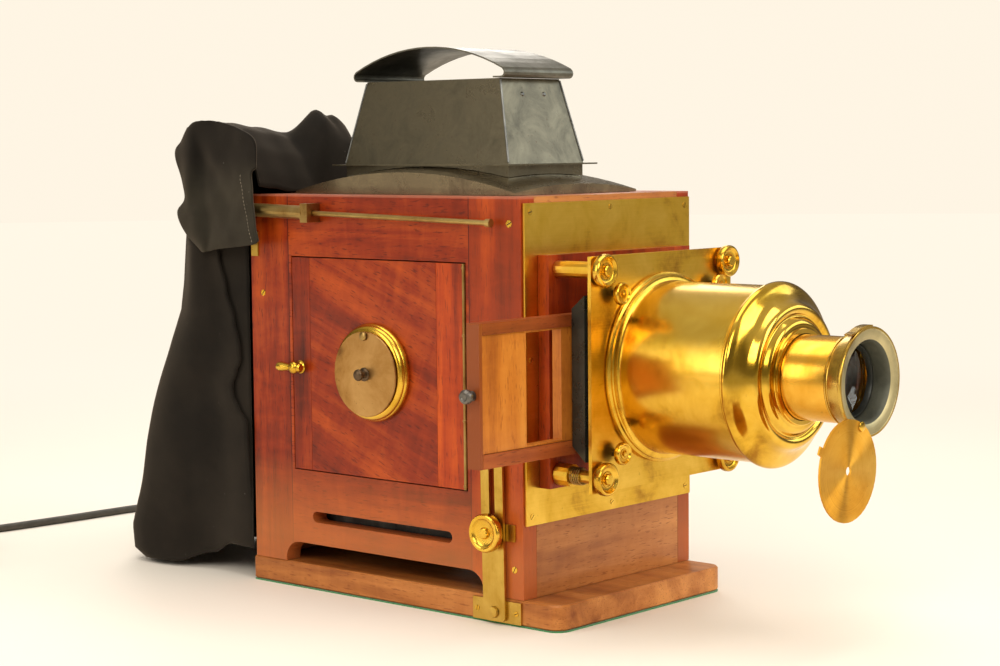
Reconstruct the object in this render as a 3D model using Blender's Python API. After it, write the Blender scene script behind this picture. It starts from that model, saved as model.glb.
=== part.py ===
"""Mahogany and brass optical slide lantern, converted to electric light.

Frame: +Z up, the optical axis along Y with the lens at -Y, the door on the -X side.
The origin is the centre of the baize under the baseboard. Metres throughout.
"""
import math

import bmesh
import bpy
from mathutils import Matrix, Vector

# ---------------------------------------------------------------- driving dimensions
GAP = 0.0003                 # clearance between pieces that touch
BASE_HALF_X = 0.1032
BASE_HALF_Y = 0.166
BAIZE_T = 0.001
BASE_TOP = 0.0203
CASE_HALF_X = 0.103
CASE_FRONT = -0.1313
CASE_REAR = 0.162
CASE_BOTTOM = 0.0206
CASE_TOP = 0.3206
WALL_T = 0.015
PANEL_T = 0.012
INNER_X = CASE_HALF_X - WALL_T - GAP
AXIS_Z = 0.1907              # height of the optical axis
SIDES = (("left", -1.0), ("right", 1.0))

DOOR_Y = (-0.0762, 0.1143)   # door opening
DOOR_Z = (0.0973, 0.2712)
DOOR_PLAY = 0.001
STILE_FRONT_Y = -0.0455
STILE_REAR_Y = 0.0935
HINGE_X, HINGE_Y = -0.1036, -0.0745
PEEP_Y, PEEP_Z = 0.0212, 0.1822
PEEP_BORE_R = 0.030
CATCH_Y, CATCH_Z = 0.105, 0.1815
VENT_Y = (-0.0595, 0.094)
VENT_Z, VENT_R = 0.060, 0.0045
LEG_CUT_Y = (-0.0913, 0.1259)
LEG_CUT_TOP, LEG_CUT_R = 0.0375, 0.015

TILT_Y, TILT_Z = 0.1668, 0.0230      # rear hinge axis of the case
PIVOT_Y, PIVOT_Z = -0.1055, 0.0095   # strut pivot on the baseboard
STUD_Y, STUD_Z = -0.1046, 0.0704     # clamp stud on the case
STRUT_X = (0.1053, 0.1075)
STRUT_W = 0.0216
SLOT_W = 0.0055
SLOT_SPAN = (0.052, 0.1115)          # along the strut, from its pivot
STRUT_TOP = 0.1200

FRONT_PLATE_Y = CASE_FRONT - GAP
FRONT_PLATE_T = 0.002
BLOCK_Y = FRONT_PLATE_Y - FRONT_PLATE_T - GAP
BLOCK_T = 0.0105
BLOCK_HALF = 0.087
STAGE_WINDOW_HALF = 0.043
LENS_PLATE_Y = -0.1813
LENS_PLATE_T = 0.003
STAGE_FACE = LENS_PLATE_Y - LENS_PLATE_T - GAP
PILLAR_AT = 0.0765
FLANGE_SCREW_AT = (0.061, 0.059)

CARRIER_Y = (-0.1597, -0.1477)
CARRIER_Z = (0.1305, 0.2342)
CARRIER_X = (-0.1780, 0.1050)
RAIL_TOP_H, RAIL_LOW_H = 0.0085, 0.0103

BARREL_R = 0.065
FOCUS_TUBE_R = 0.031
HOOD_FACE = -0.366
FLAP_R = 0.0362
FLAP_PIVOT_R = 0.0335
FLAP_ANGLE = math.radians(27.5)      # of the pivot, from straight down towards -X

DOME_HALF_X, DOME_HALF_Y, DOME_Y = 0.074, 0.1195, 0.0184
DOME_CURVE = 0.46                    # radius of the pillow's arcs
DOME_UPSTAND = 0.0018                # upright edge left at the pillow's corners
SHEET_T = 0.0012                     # chimney and cap
FLUE_Y = 0.019
CHIMNEY_BASE_Z, CHIMNEY_TOP_Z = 0.3430, 0.4108

CURTAIN_HALF_X = 0.104
CURTAIN_Y = 0.1672
ROD_X, ROD_SLOPE = 0.1105, 0.0252

CORD_R = 0.0035
COIL_CENTRE = (-0.205, 0.483)
COIL_IN, COIL_OUT, COIL_H = 0.0280, 0.0490, 0.0135
GLAND_X, GLAND_Z = 0.080, 0.0305
GLAND_TIP_Y = 0.1947
CORD_START_Y = 0.1978         # leaves room for the gland as the case tilts


# ---------------------------------------------------------------- tools
def clear_scene():
    for old in list(bpy.data.objects):
        bpy.data.objects.remove(old, do_unlink=True)


def material(name, colour, roughness, metallic=0.0, alpha=1.0):
    mat = bpy.data.materials.get(name) or bpy.data.materials.new(name)
    mat.use_nodes = True
    shader = mat.node_tree.nodes["Principled BSDF"]
    shader.inputs["Base Color"].default_value = (*colour, 1.0)
    shader.inputs["Roughness"].default_value = roughness
    shader.inputs["Metallic"].default_value = metallic
    shader.inputs["Alpha"].default_value = alpha
    return mat


def finish(name, bm, look, smooth=40.0):
    """Turn a bmesh into a named, shaded object with its own material."""
    bmesh.ops.remove_doubles(bm, verts=bm.verts, dist=1e-6)
    bmesh.ops.recalc_face_normals(bm, faces=bm.faces)
    mesh = bpy.data.meshes.new(name)
    bm.to_mesh(mesh)
    bm.free()
    mesh.shade_smooth()
    mesh.set_sharp_from_angle(angle=math.radians(smooth))
    obj = bpy.data.objects.new(name, mesh)
    bpy.context.scene.collection.objects.link(obj)
    mesh.materials.append(look)
    return obj


def guide(obj):
    obj.hide_render = True
    obj.display_type = "WIRE"
    return obj


def combine(obj, other, operation):
    """Boolean with a guide object that is left out of the model."""
    guide(other)
    step = obj.modifiers.new(operation.title(), "BOOLEAN")
    step.operation = operation
    step.solver = "EXACT"
    step.object = other
    return obj


def cut(obj, *cutters):
    for cutter in cutters:
        combine(obj, cutter, "DIFFERENCE")
    return obj


def join(obj, *others):
    for other in others:
        combine(obj, other, "UNION")
    return obj


def place(axis, centre):
    """Matrix that takes local +Z to a world axis and the origin to centre."""
    turn = Vector((0, 0, 1)).rotation_difference(Vector(axis)).to_matrix().to_4x4()
    return Matrix.Translation(Vector(centre)) @ turn


def box(name, low, high, look):
    bm = bmesh.new()
    bmesh.ops.create_cube(bm, size=1.0)
    low, high = Vector(low), Vector(high)
    size = high - low
    for vert in bm.verts:
        vert.co = low + Vector((vert.co[i] + 0.5) * size[i] for i in range(3))
    return finish(name, bm, look)


def prism(name, outline, plane, start, end, look, smooth=40.0):
    """Extrude a flat outline. plane 'xy', 'xz' or 'yz' names its two coordinates."""
    bm = bmesh.new()
    third = {"xy": 2, "xz": 1, "yz": 0}[plane]
    first, second = {"xy": (0, 1), "xz": (0, 2), "yz": (1, 2)}[plane]
    verts = []
    for a, b in outline:
        point = [0.0, 0.0, 0.0]
        point[first], point[second], point[third] = a, b, start
        verts.append(bm.verts.new(point))
    face = bm.faces.new(verts)
    moved = bmesh.ops.extrude_face_region(bm, geom=[face])["geom"]
    shift = Vector((0, 0, 0))
    shift[third] = end - start
    bmesh.ops.translate(bm, vec=shift, verts=[v for v in moved if isinstance(v, bmesh.types.BMVert)])
    return finish(name, bm, look, smooth)


def lathe(name, profile, axis, centre, look, steps=32, smooth=40.0):
    """Turn a closed profile of (radius, height) points about an axis."""
    bm = bmesh.new()
    rings = []
    for radius, height in profile:
        if radius < 1e-7:
            rings.append([bm.verts.new((0, 0, height))])
            continue
        ring = []
        for k in range(steps):
            angle = 2 * math.pi * k / steps
            ring.append(bm.verts.new((radius * math.cos(angle), radius * math.sin(angle), height)))
        rings.append(ring)
    closed = len(rings[0]) > 1 or len(rings[-1]) > 1
    pairs = list(zip(rings, rings[1:])) + ([(rings[-1], rings[0])] if closed else [])
    for lower, upper in pairs:
        for k in range(steps):
            corners = [lower[k % len(lower)], lower[(k + 1) % len(lower)],
                       upper[(k + 1) % len(upper)], upper[k % len(upper)]]
            unique = list(dict.fromkeys(corners))
            if len(unique) > 2:
                bm.faces.new(unique)
    bmesh.ops.transform(bm, matrix=place(axis, centre), verts=bm.verts)
    return finish(name, bm, look, smooth)


def rod(name, radius, axis, start, length, look, steps=16):
    profile = [(0, 0), (radius, 0), (radius, length), (0, length)]
    return lathe(name, profile, axis, start, look, steps)


def arc(centre, radius, start, end, steps):
    """Points on an arc, angles in degrees."""
    points = []
    for k in range(steps + 1):
        angle = math.radians(start + (end - start) * k / steps)
        points.append((centre[0] + radius * math.cos(angle), centre[1] + radius * math.sin(angle)))
    return points


def rounded(low, high, radii, steps=5):
    """Rectangle outline with its own radius at each corner, from low-low anticlockwise."""
    (x0, y0), (x1, y1) = low, high
    a, b, c, d = radii
    outline = arc((x0 + a, y0 + a), a, 180, 270, steps)
    outline += arc((x1 - b, y0 + b), b, 270, 360, steps)
    outline += arc((x1 - c, y1 - c), c, 0, 90, steps)
    outline += arc((x0 + d, y1 - d), d, 90, 180, steps)
    return outline


def rect_loops(name, loops, axis, centre, look):
    """Skin a closed chain of rectangles (half width, half depth, height) round an axis."""
    bm = bmesh.new()
    rings = []
    for half_a, half_b, height in loops:
        corners = ((-half_a, -half_b), (half_a, -half_b), (half_a, half_b), (-half_a, half_b))
        rings.append([bm.verts.new((a, b, height)) for a, b in corners])
    for lower, upper in zip(rings, rings[1:] + rings[:1]):
        for k in range(4):
            bm.faces.new((lower[k], lower[(k + 1) % 4], upper[(k + 1) % 4], upper[k]))
    bmesh.ops.transform(bm, matrix=place(axis, centre), verts=bm.verts)
    return finish(name, bm, look, 20.0)


# ---------------------------------------------------------------- looks
def make_looks():
    return {
        "mahogany": material("mahogany", (0.36, 0.085, 0.03), 0.28),
        "dark_wood": material("dark_mahogany", (0.2, 0.045, 0.02), 0.35),
        "satinwood": material("orange_wood", (0.55, 0.25, 0.07), 0.3),
        "brass": material("lacquered_brass", (0.78, 0.5, 0.13), 0.25, 1.0),
        "old_brass": material("aged_brass", (0.5, 0.36, 0.14), 0.4, 1.0),
        "iron": material("blued_sheet_iron", (0.09, 0.09, 0.085), 0.42, 0.85),
        "steel": material("dark_steel", (0.16, 0.15, 0.14), 0.4, 0.9),
        "black": material("black_paint", (0.02, 0.02, 0.02), 0.5),
        "baize": material("green_baize", (0.02, 0.2, 0.09), 0.95),
        "glass": material("clear_glass", (0.85, 0.9, 0.9), 0.02, 0.0, 0.35),
        "dark_glass": material("dark_glass", (0.05, 0.05, 0.06), 0.05, 0.0, 0.6),
        "cloth": material("black_cloth", (0.012, 0.011, 0.011), 0.9),
        "rubber": material("brown_flex", (0.09, 0.075, 0.06), 0.6),
        "plug": material("black_moulding", (0.03, 0.03, 0.03), 0.4),
    }


# ---------------------------------------------------------------- base and tilting gear
def make_base(look):
    radii = (0.012, 0.012, 0.003, 0.003)
    outline = rounded((-BASE_HALF_X, -BASE_HALF_Y), (BASE_HALF_X, BASE_HALF_Y), radii)
    prism("baize", outline, "xy", 0.0, BAIZE_T, look["baize"])
    board = prism("baseboard", outline, "xy", BAIZE_T + GAP, BASE_TOP, look["mahogany"])
    edge = board.modifiers.new("Bevel", "BEVEL")
    edge.width = 0.0012
    edge.segments = 1
    edge.limit_method = "ANGLE"
    edge.angle_limit = math.radians(60)
    # butt hinge at the back: a barrel on the tilt axis and a leaf down the board's rear edge
    barrel = rod("tilt_hinge", 0.0022, (1, 0, 0), (-0.070, TILT_Y, TILT_Z), 0.140, look["brass"], 12)
    leaf = box("tilt_hinge_leaf", (-0.0695, 0.1663, 0.0040), (0.0695, 0.1675, 0.0232), look["brass"])
    join(barrel, leaf)
    for side, sign in SIDES:
        make_bracket(side, sign, look)
        make_strut(side, sign, look)
        make_clamp_knob(side, sign, look)


def x_span(sign, inner, outer):
    """Start and end of a span on one side of the lantern, lowest first."""
    return (sign * inner, sign * outer) if sign > 0 else (sign * outer, sign * inner)


def make_bracket(side, sign, look):
    """Plate on the baseboard's edge with the headed stud that the strut turns on."""
    x0, x1 = x_span(sign, BASE_HALF_X + GAP, 0.1050)
    name = "strut_bracket_" + side
    plate = box(name, (x0, -0.130, 0.0018), (x1, -0.082, 0.0185), look["brass"])
    head = [(0, -0.0012), (0.0022, -0.0012), (0.0022, 0.0029), (0.0045, 0.0029), (0.0040, 0.0046),
            (0, 0.0050)]
    stud = lathe(name + "_stud", head, (sign, 0, 0), (sign * 0.1050, PIVOT_Y, PIVOT_Z), look["brass"], 16)
    join(plate, stud)


def make_strut(side, sign, look):
    """Slotted bar that turns on the bracket's stud and is clamped by the knob."""
    lean = math.atan2(STUD_Y - PIVOT_Y, STUD_Z - PIVOT_Z)
    half = STRUT_W / 2
    outline = rounded((-half, -0.0070), (half, STRUT_TOP), (0.004, 0.004, 0.003, 0.003), 3)
    x0, x1 = x_span(sign, *STRUT_X)
    name = "strut_" + side
    bar = prism(name, outline, "yz", x0, x1, look["brass"])
    r = SLOT_W / 2
    low, high = SLOT_SPAN
    slot_line = arc((0, low + r), r, 180, 360, 6) + arc((0, high - r), r, 0, 180, 6)
    slot = prism(name + "_slot", slot_line, "yz", x0 - 0.002, x1 + 0.002, look["brass"])
    eye = rod(name + "_eye", 0.0026, (1, 0, 0), (x0 - 0.002, 0, 0), 0.0062, look["brass"], 16)
    cut(bar, slot, eye)
    pivot = bpy.data.objects.new(name + "_pivot", None)
    bpy.context.scene.collection.objects.link(pivot)
    pivot.location = (0, PIVOT_Y, PIVOT_Z)
    pivot.rotation_euler = (-lean, 0, 0)
    for obj in (bar, slot, eye):
        obj.parent = pivot


def make_clamp_knob(side, sign, look):
    """Dished thumb knob whose stud passes through the strut's slot."""
    profile = [(0, 0.1052), (0.0020, 0.1052), (0.0020, 0.1079), (0.0072, 0.1079), (0.0072, 0.1100),
               (0.0128, 0.1108), (0.0145, 0.1122), (0.0145, 0.1172), (0.0135, 0.1186), (0.0112, 0.1186),
               (0.0090, 0.1168), (0.0046, 0.1164), (0.0036, 0.1188), (0, 0.1194)]
    lathe("clamp_knob_" + side, profile, (sign, 0, 0), (0, STUD_Y, STUD_Z), look["brass"], 20)


# ---------------------------------------------------------------- wooden case
def side_outline():
    """Side wall seen along X: legs at the ends of a round-shouldered cut-out."""
    y0, y1 = LEG_CUT_Y
    r = LEG_CUT_R
    outline = [(CASE_FRONT, CASE_BOTTOM), (y0, CASE_BOTTOM)]
    outline += arc((y0 + r, LEG_CUT_TOP - r), r, 180, 90, 6)
    outline += arc((y1 - r, LEG_CUT_TOP - r), r, 90, 0, 6)
    outline += [(y1, CASE_BOTTOM), (CASE_REAR, CASE_BOTTOM), (CASE_REAR, CASE_TOP), (CASE_FRONT, CASE_TOP)]
    return outline


def vent_cutter(name, x0, x1, look):
    y0, y1 = VENT_Y
    line = arc((y0 + VENT_R, VENT_Z), VENT_R, 90, 270, 8) + arc((y1 - VENT_R, VENT_Z), VENT_R, -90, 90, 8)
    return prism(name, line, "yz", x0 - 0.01, x1 + 0.01, look["mahogany"])


def make_case(look):
    for side, sign in SIDES:
        x0, x1 = x_span(sign, CASE_HALF_X - WALL_T, CASE_HALF_X)
        name = "side_panel_" + side
        wall = prism(name, side_outline(), "yz", x0, x1, look["mahogany"])
        cut(wall, vent_cutter(name + "_vent", x0, x1, look))
        if side == "left":
            low = (x0 - 0.01, DOOR_Y[0], DOOR_Z[0])
            high = (x1 + 0.01, DOOR_Y[1], DOOR_Z[1])
            cut(wall, box("door_opening", low, high, look["mahogany"]))
    front = box("front_panel", (-INNER_X, CASE_FRONT, CASE_BOTTOM),
                (INNER_X, CASE_FRONT + PANEL_T, CASE_TOP), look["mahogany"])
    cut(front, rod("front_bore", 0.0540, (0, 1, 0), (0, CASE_FRONT - 0.01, AXIS_Z), 0.04, look["brass"], 48))
    inner_front = CASE_FRONT + PANEL_T + GAP
    top = box("top_board", (-INNER_X, inner_front, CASE_TOP - PANEL_T),
              (INNER_X, CASE_REAR - PANEL_T, CASE_TOP), look["dark_wood"])
    cut(top, box("top_opening", (-0.058, FLUE_Y - 0.100, 0.29), (0.058, FLUE_Y + 0.100, 0.34), look["black"]))
    rear = box("rear_frame", (-INNER_X, CASE_REAR - PANEL_T + GAP, CASE_BOTTOM + GAP),
               (INNER_X, CASE_REAR, CASE_TOP), look["mahogany"])
    cut(rear, box("rear_opening", (-0.070, 0.14, 0.0400), (0.070, 0.18, 0.2900), look["black"]))


def make_lining(look):
    """Folded sheet that keeps the lamp's heat off the wood: floor and two sides."""
    outer, inner = 0.0845, 0.0835
    floor, skin, top = 0.0400, 0.0412, 0.3000
    line = [(-outer, top), (-outer, floor), (outer, floor), (outer, top),
            (inner, top), (inner, skin), (-inner, skin), (-inner, top)]
    lining = prism("iron_lining", line, "xz", -0.112, 0.146, look["iron"])
    low = (-0.10, DOOR_Y[0] + 0.006, DOOR_Z[0] + 0.004)
    high = (-0.07, DOOR_Y[1] - 0.006, DOOR_Z[1] - 0.004)
    cut(lining, box("lining_window", low, high, look["iron"]))


# ---------------------------------------------------------------- door
def make_door(look):
    x0, x1 = -CASE_HALF_X, -CASE_HALF_X + PANEL_T
    z0, z1 = DOOR_Z[0] + DOOR_PLAY, DOOR_Z[1] - DOOR_PLAY
    front_edge = HINGE_Y + 0.0017
    rear_edge = DOOR_Y[1] - DOOR_PLAY
    box("door_stile_front", (x0, front_edge, z0), (x1, STILE_FRONT_Y, z1), look["mahogany"])
    box("door_stile_rear", (x0, STILE_REAR_Y, z0), (x1, rear_edge, z1), look["mahogany"])
    panel = box("door_panel", (x0, STILE_FRONT_Y + GAP, z0), (x1, STILE_REAR_Y - GAP, z1), look["mahogany"])
    bore = rod("door_bore", PEEP_BORE_R, (1, 0, 0), (x0 - 0.01, PEEP_Y, PEEP_Z), 0.04, look["brass"], 40)
    cut(panel, bore)
    knuckle = rod("door_hinge", 0.0012, (0, 0, 1), (HINGE_X, HINGE_Y, z0), z1 - z0, look["brass"], 10)
    leaf = box("door_hinge_leaf", (HINGE_X, HINGE_Y - 0.0012, z0 + 0.0005),
               (x1, HINGE_Y - 0.0003, z1 - 0.0005), look["brass"])
    join(knuckle, leaf)
    make_peephole(look)
    make_catch(look)


def make_peephole(look):
    centre = (0, PEEP_Y, PEEP_Z)
    outwards = (-1, 0, 0)
    ring = [(0.0285, 0.1033), (0.0386, 0.1033), (0.0386, 0.1065), (0.0372, 0.1095), (0.0350, 0.1105),
            (0.0318, 0.1105), (0.0285, 0.1090)]
    bezel = lathe("peephole_bezel", ring, outwards, centre, look["brass"], 32)
    screw = [(0, 0.1085), (0.0016, 0.1085), (0.0016, 0.1149), (0.0032, 0.1149), (0.0028, 0.1165), (0, 0.1168)]
    cover_z = PEEP_Z - 0.0007
    pivot_z = cover_z + 0.0300
    pivot = (0, PEEP_Y, pivot_z)
    post = lathe("cover_screw", screw, outwards, pivot, look["brass"], 12)
    foot = [(0, 0.1068), (0.0034, 0.1068), (0.0034, 0.1102), (0, 0.1102)]
    base = lathe("cover_screw_foot", foot, outwards, pivot, look["brass"], 12)
    join(bezel, base, post)
    pane = [(0, 0.1042), (0.0279, 0.1042), (0.0279, 0.1062), (0, 0.1062)]
    lathe("peephole_glass", pane, outwards, centre, look["dark_glass"], 32)
    disc = [(0, 0.1130), (0.0332, 0.1130), (0.0336, 0.1137), (0.0332, 0.1145), (0, 0.1145)]
    cover = lathe("peephole_cover", disc, outwards, (0, PEEP_Y, cover_z), look["old_brass"], 32)
    hole = rod("cover_eye", 0.0020, (-1, 0, 0), (-0.110, PEEP_Y, pivot_z), 0.010, look["brass"], 12)
    grip = [(0, 0.1140), (0.0022, 0.1140), (0.0019, 0.1190), (0.0037, 0.1200), (0.0037, 0.1222), (0, 0.1232)]
    knob = lathe("cover_knob", grip, outwards, (0, PEEP_Y, cover_z), look["brass"], 14)
    join(cover, knob)
    cut(cover, hole)


def make_catch(look):
    """Turn button: a post in the rear stile with a bar that laps onto the case."""
    post = rod("door_catch", 0.0036, (-1, 0, 0), (-0.1033, CATCH_Y, CATCH_Z), 0.0062, look["brass"], 16)
    line = arc((CATCH_Y - 0.0055, 0.1098), 0.0024, 90, 270, 5)[::-1]
    line += arc((0.1245, 0.1098), 0.0024, -90, 90, 5)[::-1]
    bar_line = [(y, -x) for y, x in line]
    bm = bmesh.new()
    verts = [bm.verts.new((x, y, CATCH_Z - 0.0024)) for y, x in bar_line]
    face = bm.faces.new(verts)
    moved = bmesh.ops.extrude_face_region(bm, geom=[face])["geom"]
    verts = [v for v in moved if isinstance(v, bmesh.types.BMVert)]
    bmesh.ops.translate(bm, vec=(0, 0, 0.0048), verts=verts)
    bar = finish("catch_bar", bm, look["brass"])
    join(post, bar)


# ---------------------------------------------------------------- roof and chimney
def dome_height(x, y, lift=0.0):
    """Pillow surface: equal arcs across and along, highest over the flue."""
    rise = DOME_HALF_X ** 2 - x ** 2 + DOME_HALF_Y ** 2 - (y - DOME_Y) ** 2
    return CASE_TOP + GAP + DOME_UPSTAND + rise / (2 * DOME_CURVE) + lift


def spread(low, high, count):
    return [low + (high - low) * k / count for k in range(count + 1)]


def make_dome(look):
    """Pressed sheet-iron pillow with upright edges and a rectangular flue hole."""
    hole_x, hole_y = 0.038, 0.080
    xs = spread(-DOME_HALF_X, -hole_x, 3) + spread(-hole_x, hole_x, 4)[1:]
    xs += spread(hole_x, DOME_HALF_X, 3)[1:]
    front, rear = DOME_Y - DOME_HALF_Y, DOME_Y + DOME_HALF_Y
    ys = spread(front, FLUE_Y - hole_y, 3)
    ys += spread(FLUE_Y - hole_y, FLUE_Y + hole_y, 8)[1:] + spread(FLUE_Y + hole_y, rear, 3)[1:]
    bm = bmesh.new()
    grid = [[bm.verts.new((x, y, dome_height(x, y))) for y in ys] for x in xs]
    for i in range(len(xs) - 1):
        for j in range(len(ys) - 1):
            centre_x = (xs[i] + xs[i + 1]) / 2
            centre_y = (ys[j] + ys[j + 1]) / 2
            if abs(centre_x) < hole_x and abs(centre_y - FLUE_Y) < hole_y:
                continue
            bm.faces.new((grid[i][j], grid[i + 1][j], grid[i + 1][j + 1], grid[i][j + 1]))
    loose = [v for v in bm.verts if not v.link_faces]
    bmesh.ops.delete(bm, geom=loose, context="VERTS")
    rim = [e for e in bm.edges if e.is_boundary and all(on_dome_edge(v.co) for v in e.verts)]
    skirt = bmesh.ops.extrude_edge_only(bm, edges=rim)["geom"]
    for vert in [v for v in skirt if isinstance(v, bmesh.types.BMVert)]:
        vert.co.z = CASE_TOP + GAP
    dome = finish("roof_dome", bm, look["iron"], 30.0)
    skin = dome.modifiers.new("Solidify", "SOLIDIFY")
    skin.thickness = 0.0010
    skin.offset = -1.0
    skin.use_even_offset = True


def on_dome_edge(point):
    near_x = abs(abs(point.x) - DOME_HALF_X) < 1e-5
    near_y = abs(abs(point.y - DOME_Y) - DOME_HALF_Y) < 1e-5
    return near_x or near_y


def make_dome_cutter(look):
    """Block whose top is the dome's surface with a small clearance."""
    bm = bmesh.new()
    xs = spread(-0.060, 0.060, 8)
    ys = spread(FLUE_Y - 0.105, FLUE_Y + 0.105, 12)
    top = [[bm.verts.new((x, y, dome_height(x, y, GAP))) for y in ys] for x in xs]
    low = [[bm.verts.new((x, y, 0.300)) for y in ys] for x in xs]
    for i in range(len(xs) - 1):
        for j in range(len(ys) - 1):
            for layer in (top, low):
                bm.faces.new((layer[i][j], layer[i + 1][j], layer[i + 1][j + 1], layer[i][j + 1]))
    edge = [(i, 0) for i in range(len(xs))] + [(len(xs) - 1, j) for j in range(1, len(ys))]
    edge += [(i, len(ys) - 1) for i in range(len(xs) - 2, -1, -1)]
    edge += [(0, j) for j in range(len(ys) - 2, 0, -1)]
    for (i, j), (m, n) in zip(edge, edge[1:] + edge[:1]):
        bm.faces.new((top[i][j], top[m][n], low[m][n], low[i][j]))
    return finish("dome_cutter", bm, look["iron"])


def make_chimney(look):
    base, top = CHIMNEY_BASE_Z, CHIMNEY_TOP_Z
    skin = SHEET_T
    loops = [(0.0450, 0.0885, 0.3270), (0.0450, 0.0885, base),
             (0.0535, 0.0970, base), (0.0535, 0.0970, base + skin),
             (0.0455, 0.0890, base + skin), (0.0355, 0.0725, top), (0.0355 - skin, 0.0725 - skin, top),
             (0.0455 - skin, 0.0890 - skin, base + skin), (0.0450 - skin, 0.0885 - skin, base),
             (0.0450 - skin, 0.0885 - skin, 0.3270)]
    chimney = rect_loops("chimney", loops, (0, 0, 1), (0, FLUE_Y, 0), look["iron"])
    cut(chimney, make_dome_cutter(look))
    # cap: one arched sheet whose curled ends stand on the front and rear walls
    half, foot = 0.0825, top + GAP
    bend = 0.0040
    crown = 0.4372
    shoulder_z = foot + 2 * bend
    chord = half - bend * 0.6
    sag = crown - shoulder_z
    radius = (chord ** 2 + sag ** 2) / (2 * sag)
    swing = math.degrees(math.asin(chord / radius))
    outer = [(-0.0700, foot), (-(half - bend), foot)]
    outer += arc((-(half - bend), foot + bend), bend, 270, 180 - 60, 5)[1:]
    outer += arc((0, crown - radius), radius, 90 + swing, 90 - swing, 16)
    outer += arc((half - bend, foot + bend), bend, 60, -90, 5)[:-1]
    outer += [(half - bend, foot), (0.0700, foot)]
    thick = SHEET_T
    inner = [(0.0700, foot + thick), (half - bend, foot + thick)]
    inner += arc((half - bend, foot + bend), bend - thick, -90, 60, 5)[1:]
    inner += arc((0, crown - radius), radius - thick, 90 - swing, 90 + swing, 16)
    inner += arc((-(half - bend), foot + bend), bend - thick, 120, 270, 5)[:-1]
    inner += [(-(half - bend), foot + thick), (-0.0700, foot + thick)]
    line = [(FLUE_Y + y, z) for y, z in outer + inner]
    prism("chimney_cap", line, "yz", -0.0415, 0.0415, look["iron"])


# ---------------------------------------------------------------- stage and lens
def make_stage(look):
    plate = box("front_plate", (-0.1013, FRONT_PLATE_Y - FRONT_PLATE_T, 0.0763),
                (0.1013, FRONT_PLATE_Y, 0.3162), look["brass"])
    cut(plate, rod("plate_bore", 0.0530, (0, 1, 0), (0, -0.15, AXIS_Z), 0.04, look["brass"], 48))
    block = box("stage_block", (-BLOCK_HALF, BLOCK_Y - BLOCK_T, AXIS_Z - BLOCK_HALF),
                (BLOCK_HALF, BLOCK_Y, AXIS_Z + BLOCK_HALF), look["mahogany"])
    half = STAGE_WINDOW_HALF
    low, high = (-half, -0.16, AXIS_Z - half), (half, -0.12, AXIS_Z + half)
    cut(block, box("block_window", low, high, look["black"]))
    lens_plate = box("lens_plate", (-BLOCK_HALF, LENS_PLATE_Y - LENS_PLATE_T, AXIS_Z - BLOCK_HALF),
                     (BLOCK_HALF, LENS_PLATE_Y, AXIS_Z + BLOCK_HALF), look["brass"])
    bore = rod("lens_bore", 0.0580, (0, 1, 0), (0, -0.195, AXIS_Z), 0.03, look["brass"], 48)
    cut(lens_plate, bore)
    back = BLOCK_Y - BLOCK_T - GAP
    for place_name, x, z in corners(PILLAR_AT, PILLAR_AT):
        length = back - LENS_PLATE_Y + 0.001
        radius = 0.0062 if z > 0 else 0.0048
        start = (x, LENS_PLATE_Y - 0.001, AXIS_Z + z)
        join(lens_plate, rod("pillar_" + place_name, radius, (0, 1, 0), start, length, look["brass"], 16))
        if z < 0:
            nut_start = (x, back - 0.0136, AXIS_Z + z)
            nut = rod("pillar_nut_" + place_name, 0.0085, (0, 1, 0), nut_start, 0.0130, look["steel"], 16)
            join(lens_plate, nut)
        make_plate_nut(place_name, x, z, look)
    for place_name, x, z in corners(*FLANGE_SCREW_AT):
        make_flange_screw(place_name, x, z, look)
    low, high = 0.0510, 0.0615
    loops = [(0.0800, low, -0.1602), (0.0845, high, -0.1760),
             (0.0400, 0.0400, -0.1760), (0.0400, 0.0400, -0.1602)]
    bm_loops = [(x, z, -y) for x, z, y in loops]
    rect_loops("pressure_plate", bm_loops, (0, -1, 0), (0, 0, 0.1875), look["black"])


def corners(across, up):
    names = (("top_left", -1, 1), ("top_right", 1, 1), ("low_left", -1, -1), ("low_right", 1, -1))
    return [(name, a * across, b * up) for name, a, b in names]


def make_plate_nut(place_name, x, z, look):
    y = -STAGE_FACE
    profile = [(0, y), (0.0085, y), (0.0085, y + 0.0012), (0.0116, y + 0.0018), (0.0122, y + 0.0028),
               (0.0122, y + 0.0066), (0.0114, y + 0.0078), (0.0098, y + 0.0078), (0.0080, y + 0.0062),
               (0.0038, y + 0.0062), (0.0030, y + 0.0084), (0, y + 0.0088)]
    lathe("plate_nut_" + place_name, profile, (0, -1, 0), (x, 0, AXIS_Z + z), look["brass"], 18)


def make_flange_screw(place_name, x, z, look):
    y = -STAGE_FACE
    profile = [(0, y), (0.0026, y), (0.0026, y + 0.0052), (0.0078, y + 0.0056), (0.0083, y + 0.0064),
               (0.0083, y + 0.0094), (0.0076, y + 0.0104), (0.0058, y + 0.0094), (0.0022, y + 0.0094),
               (0.0016, y + 0.0106), (0, y + 0.0108)]
    lathe("flange_screw_" + place_name, profile, (0, -1, 0), (x, 0, AXIS_Z + z), look["brass"], 14)


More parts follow.
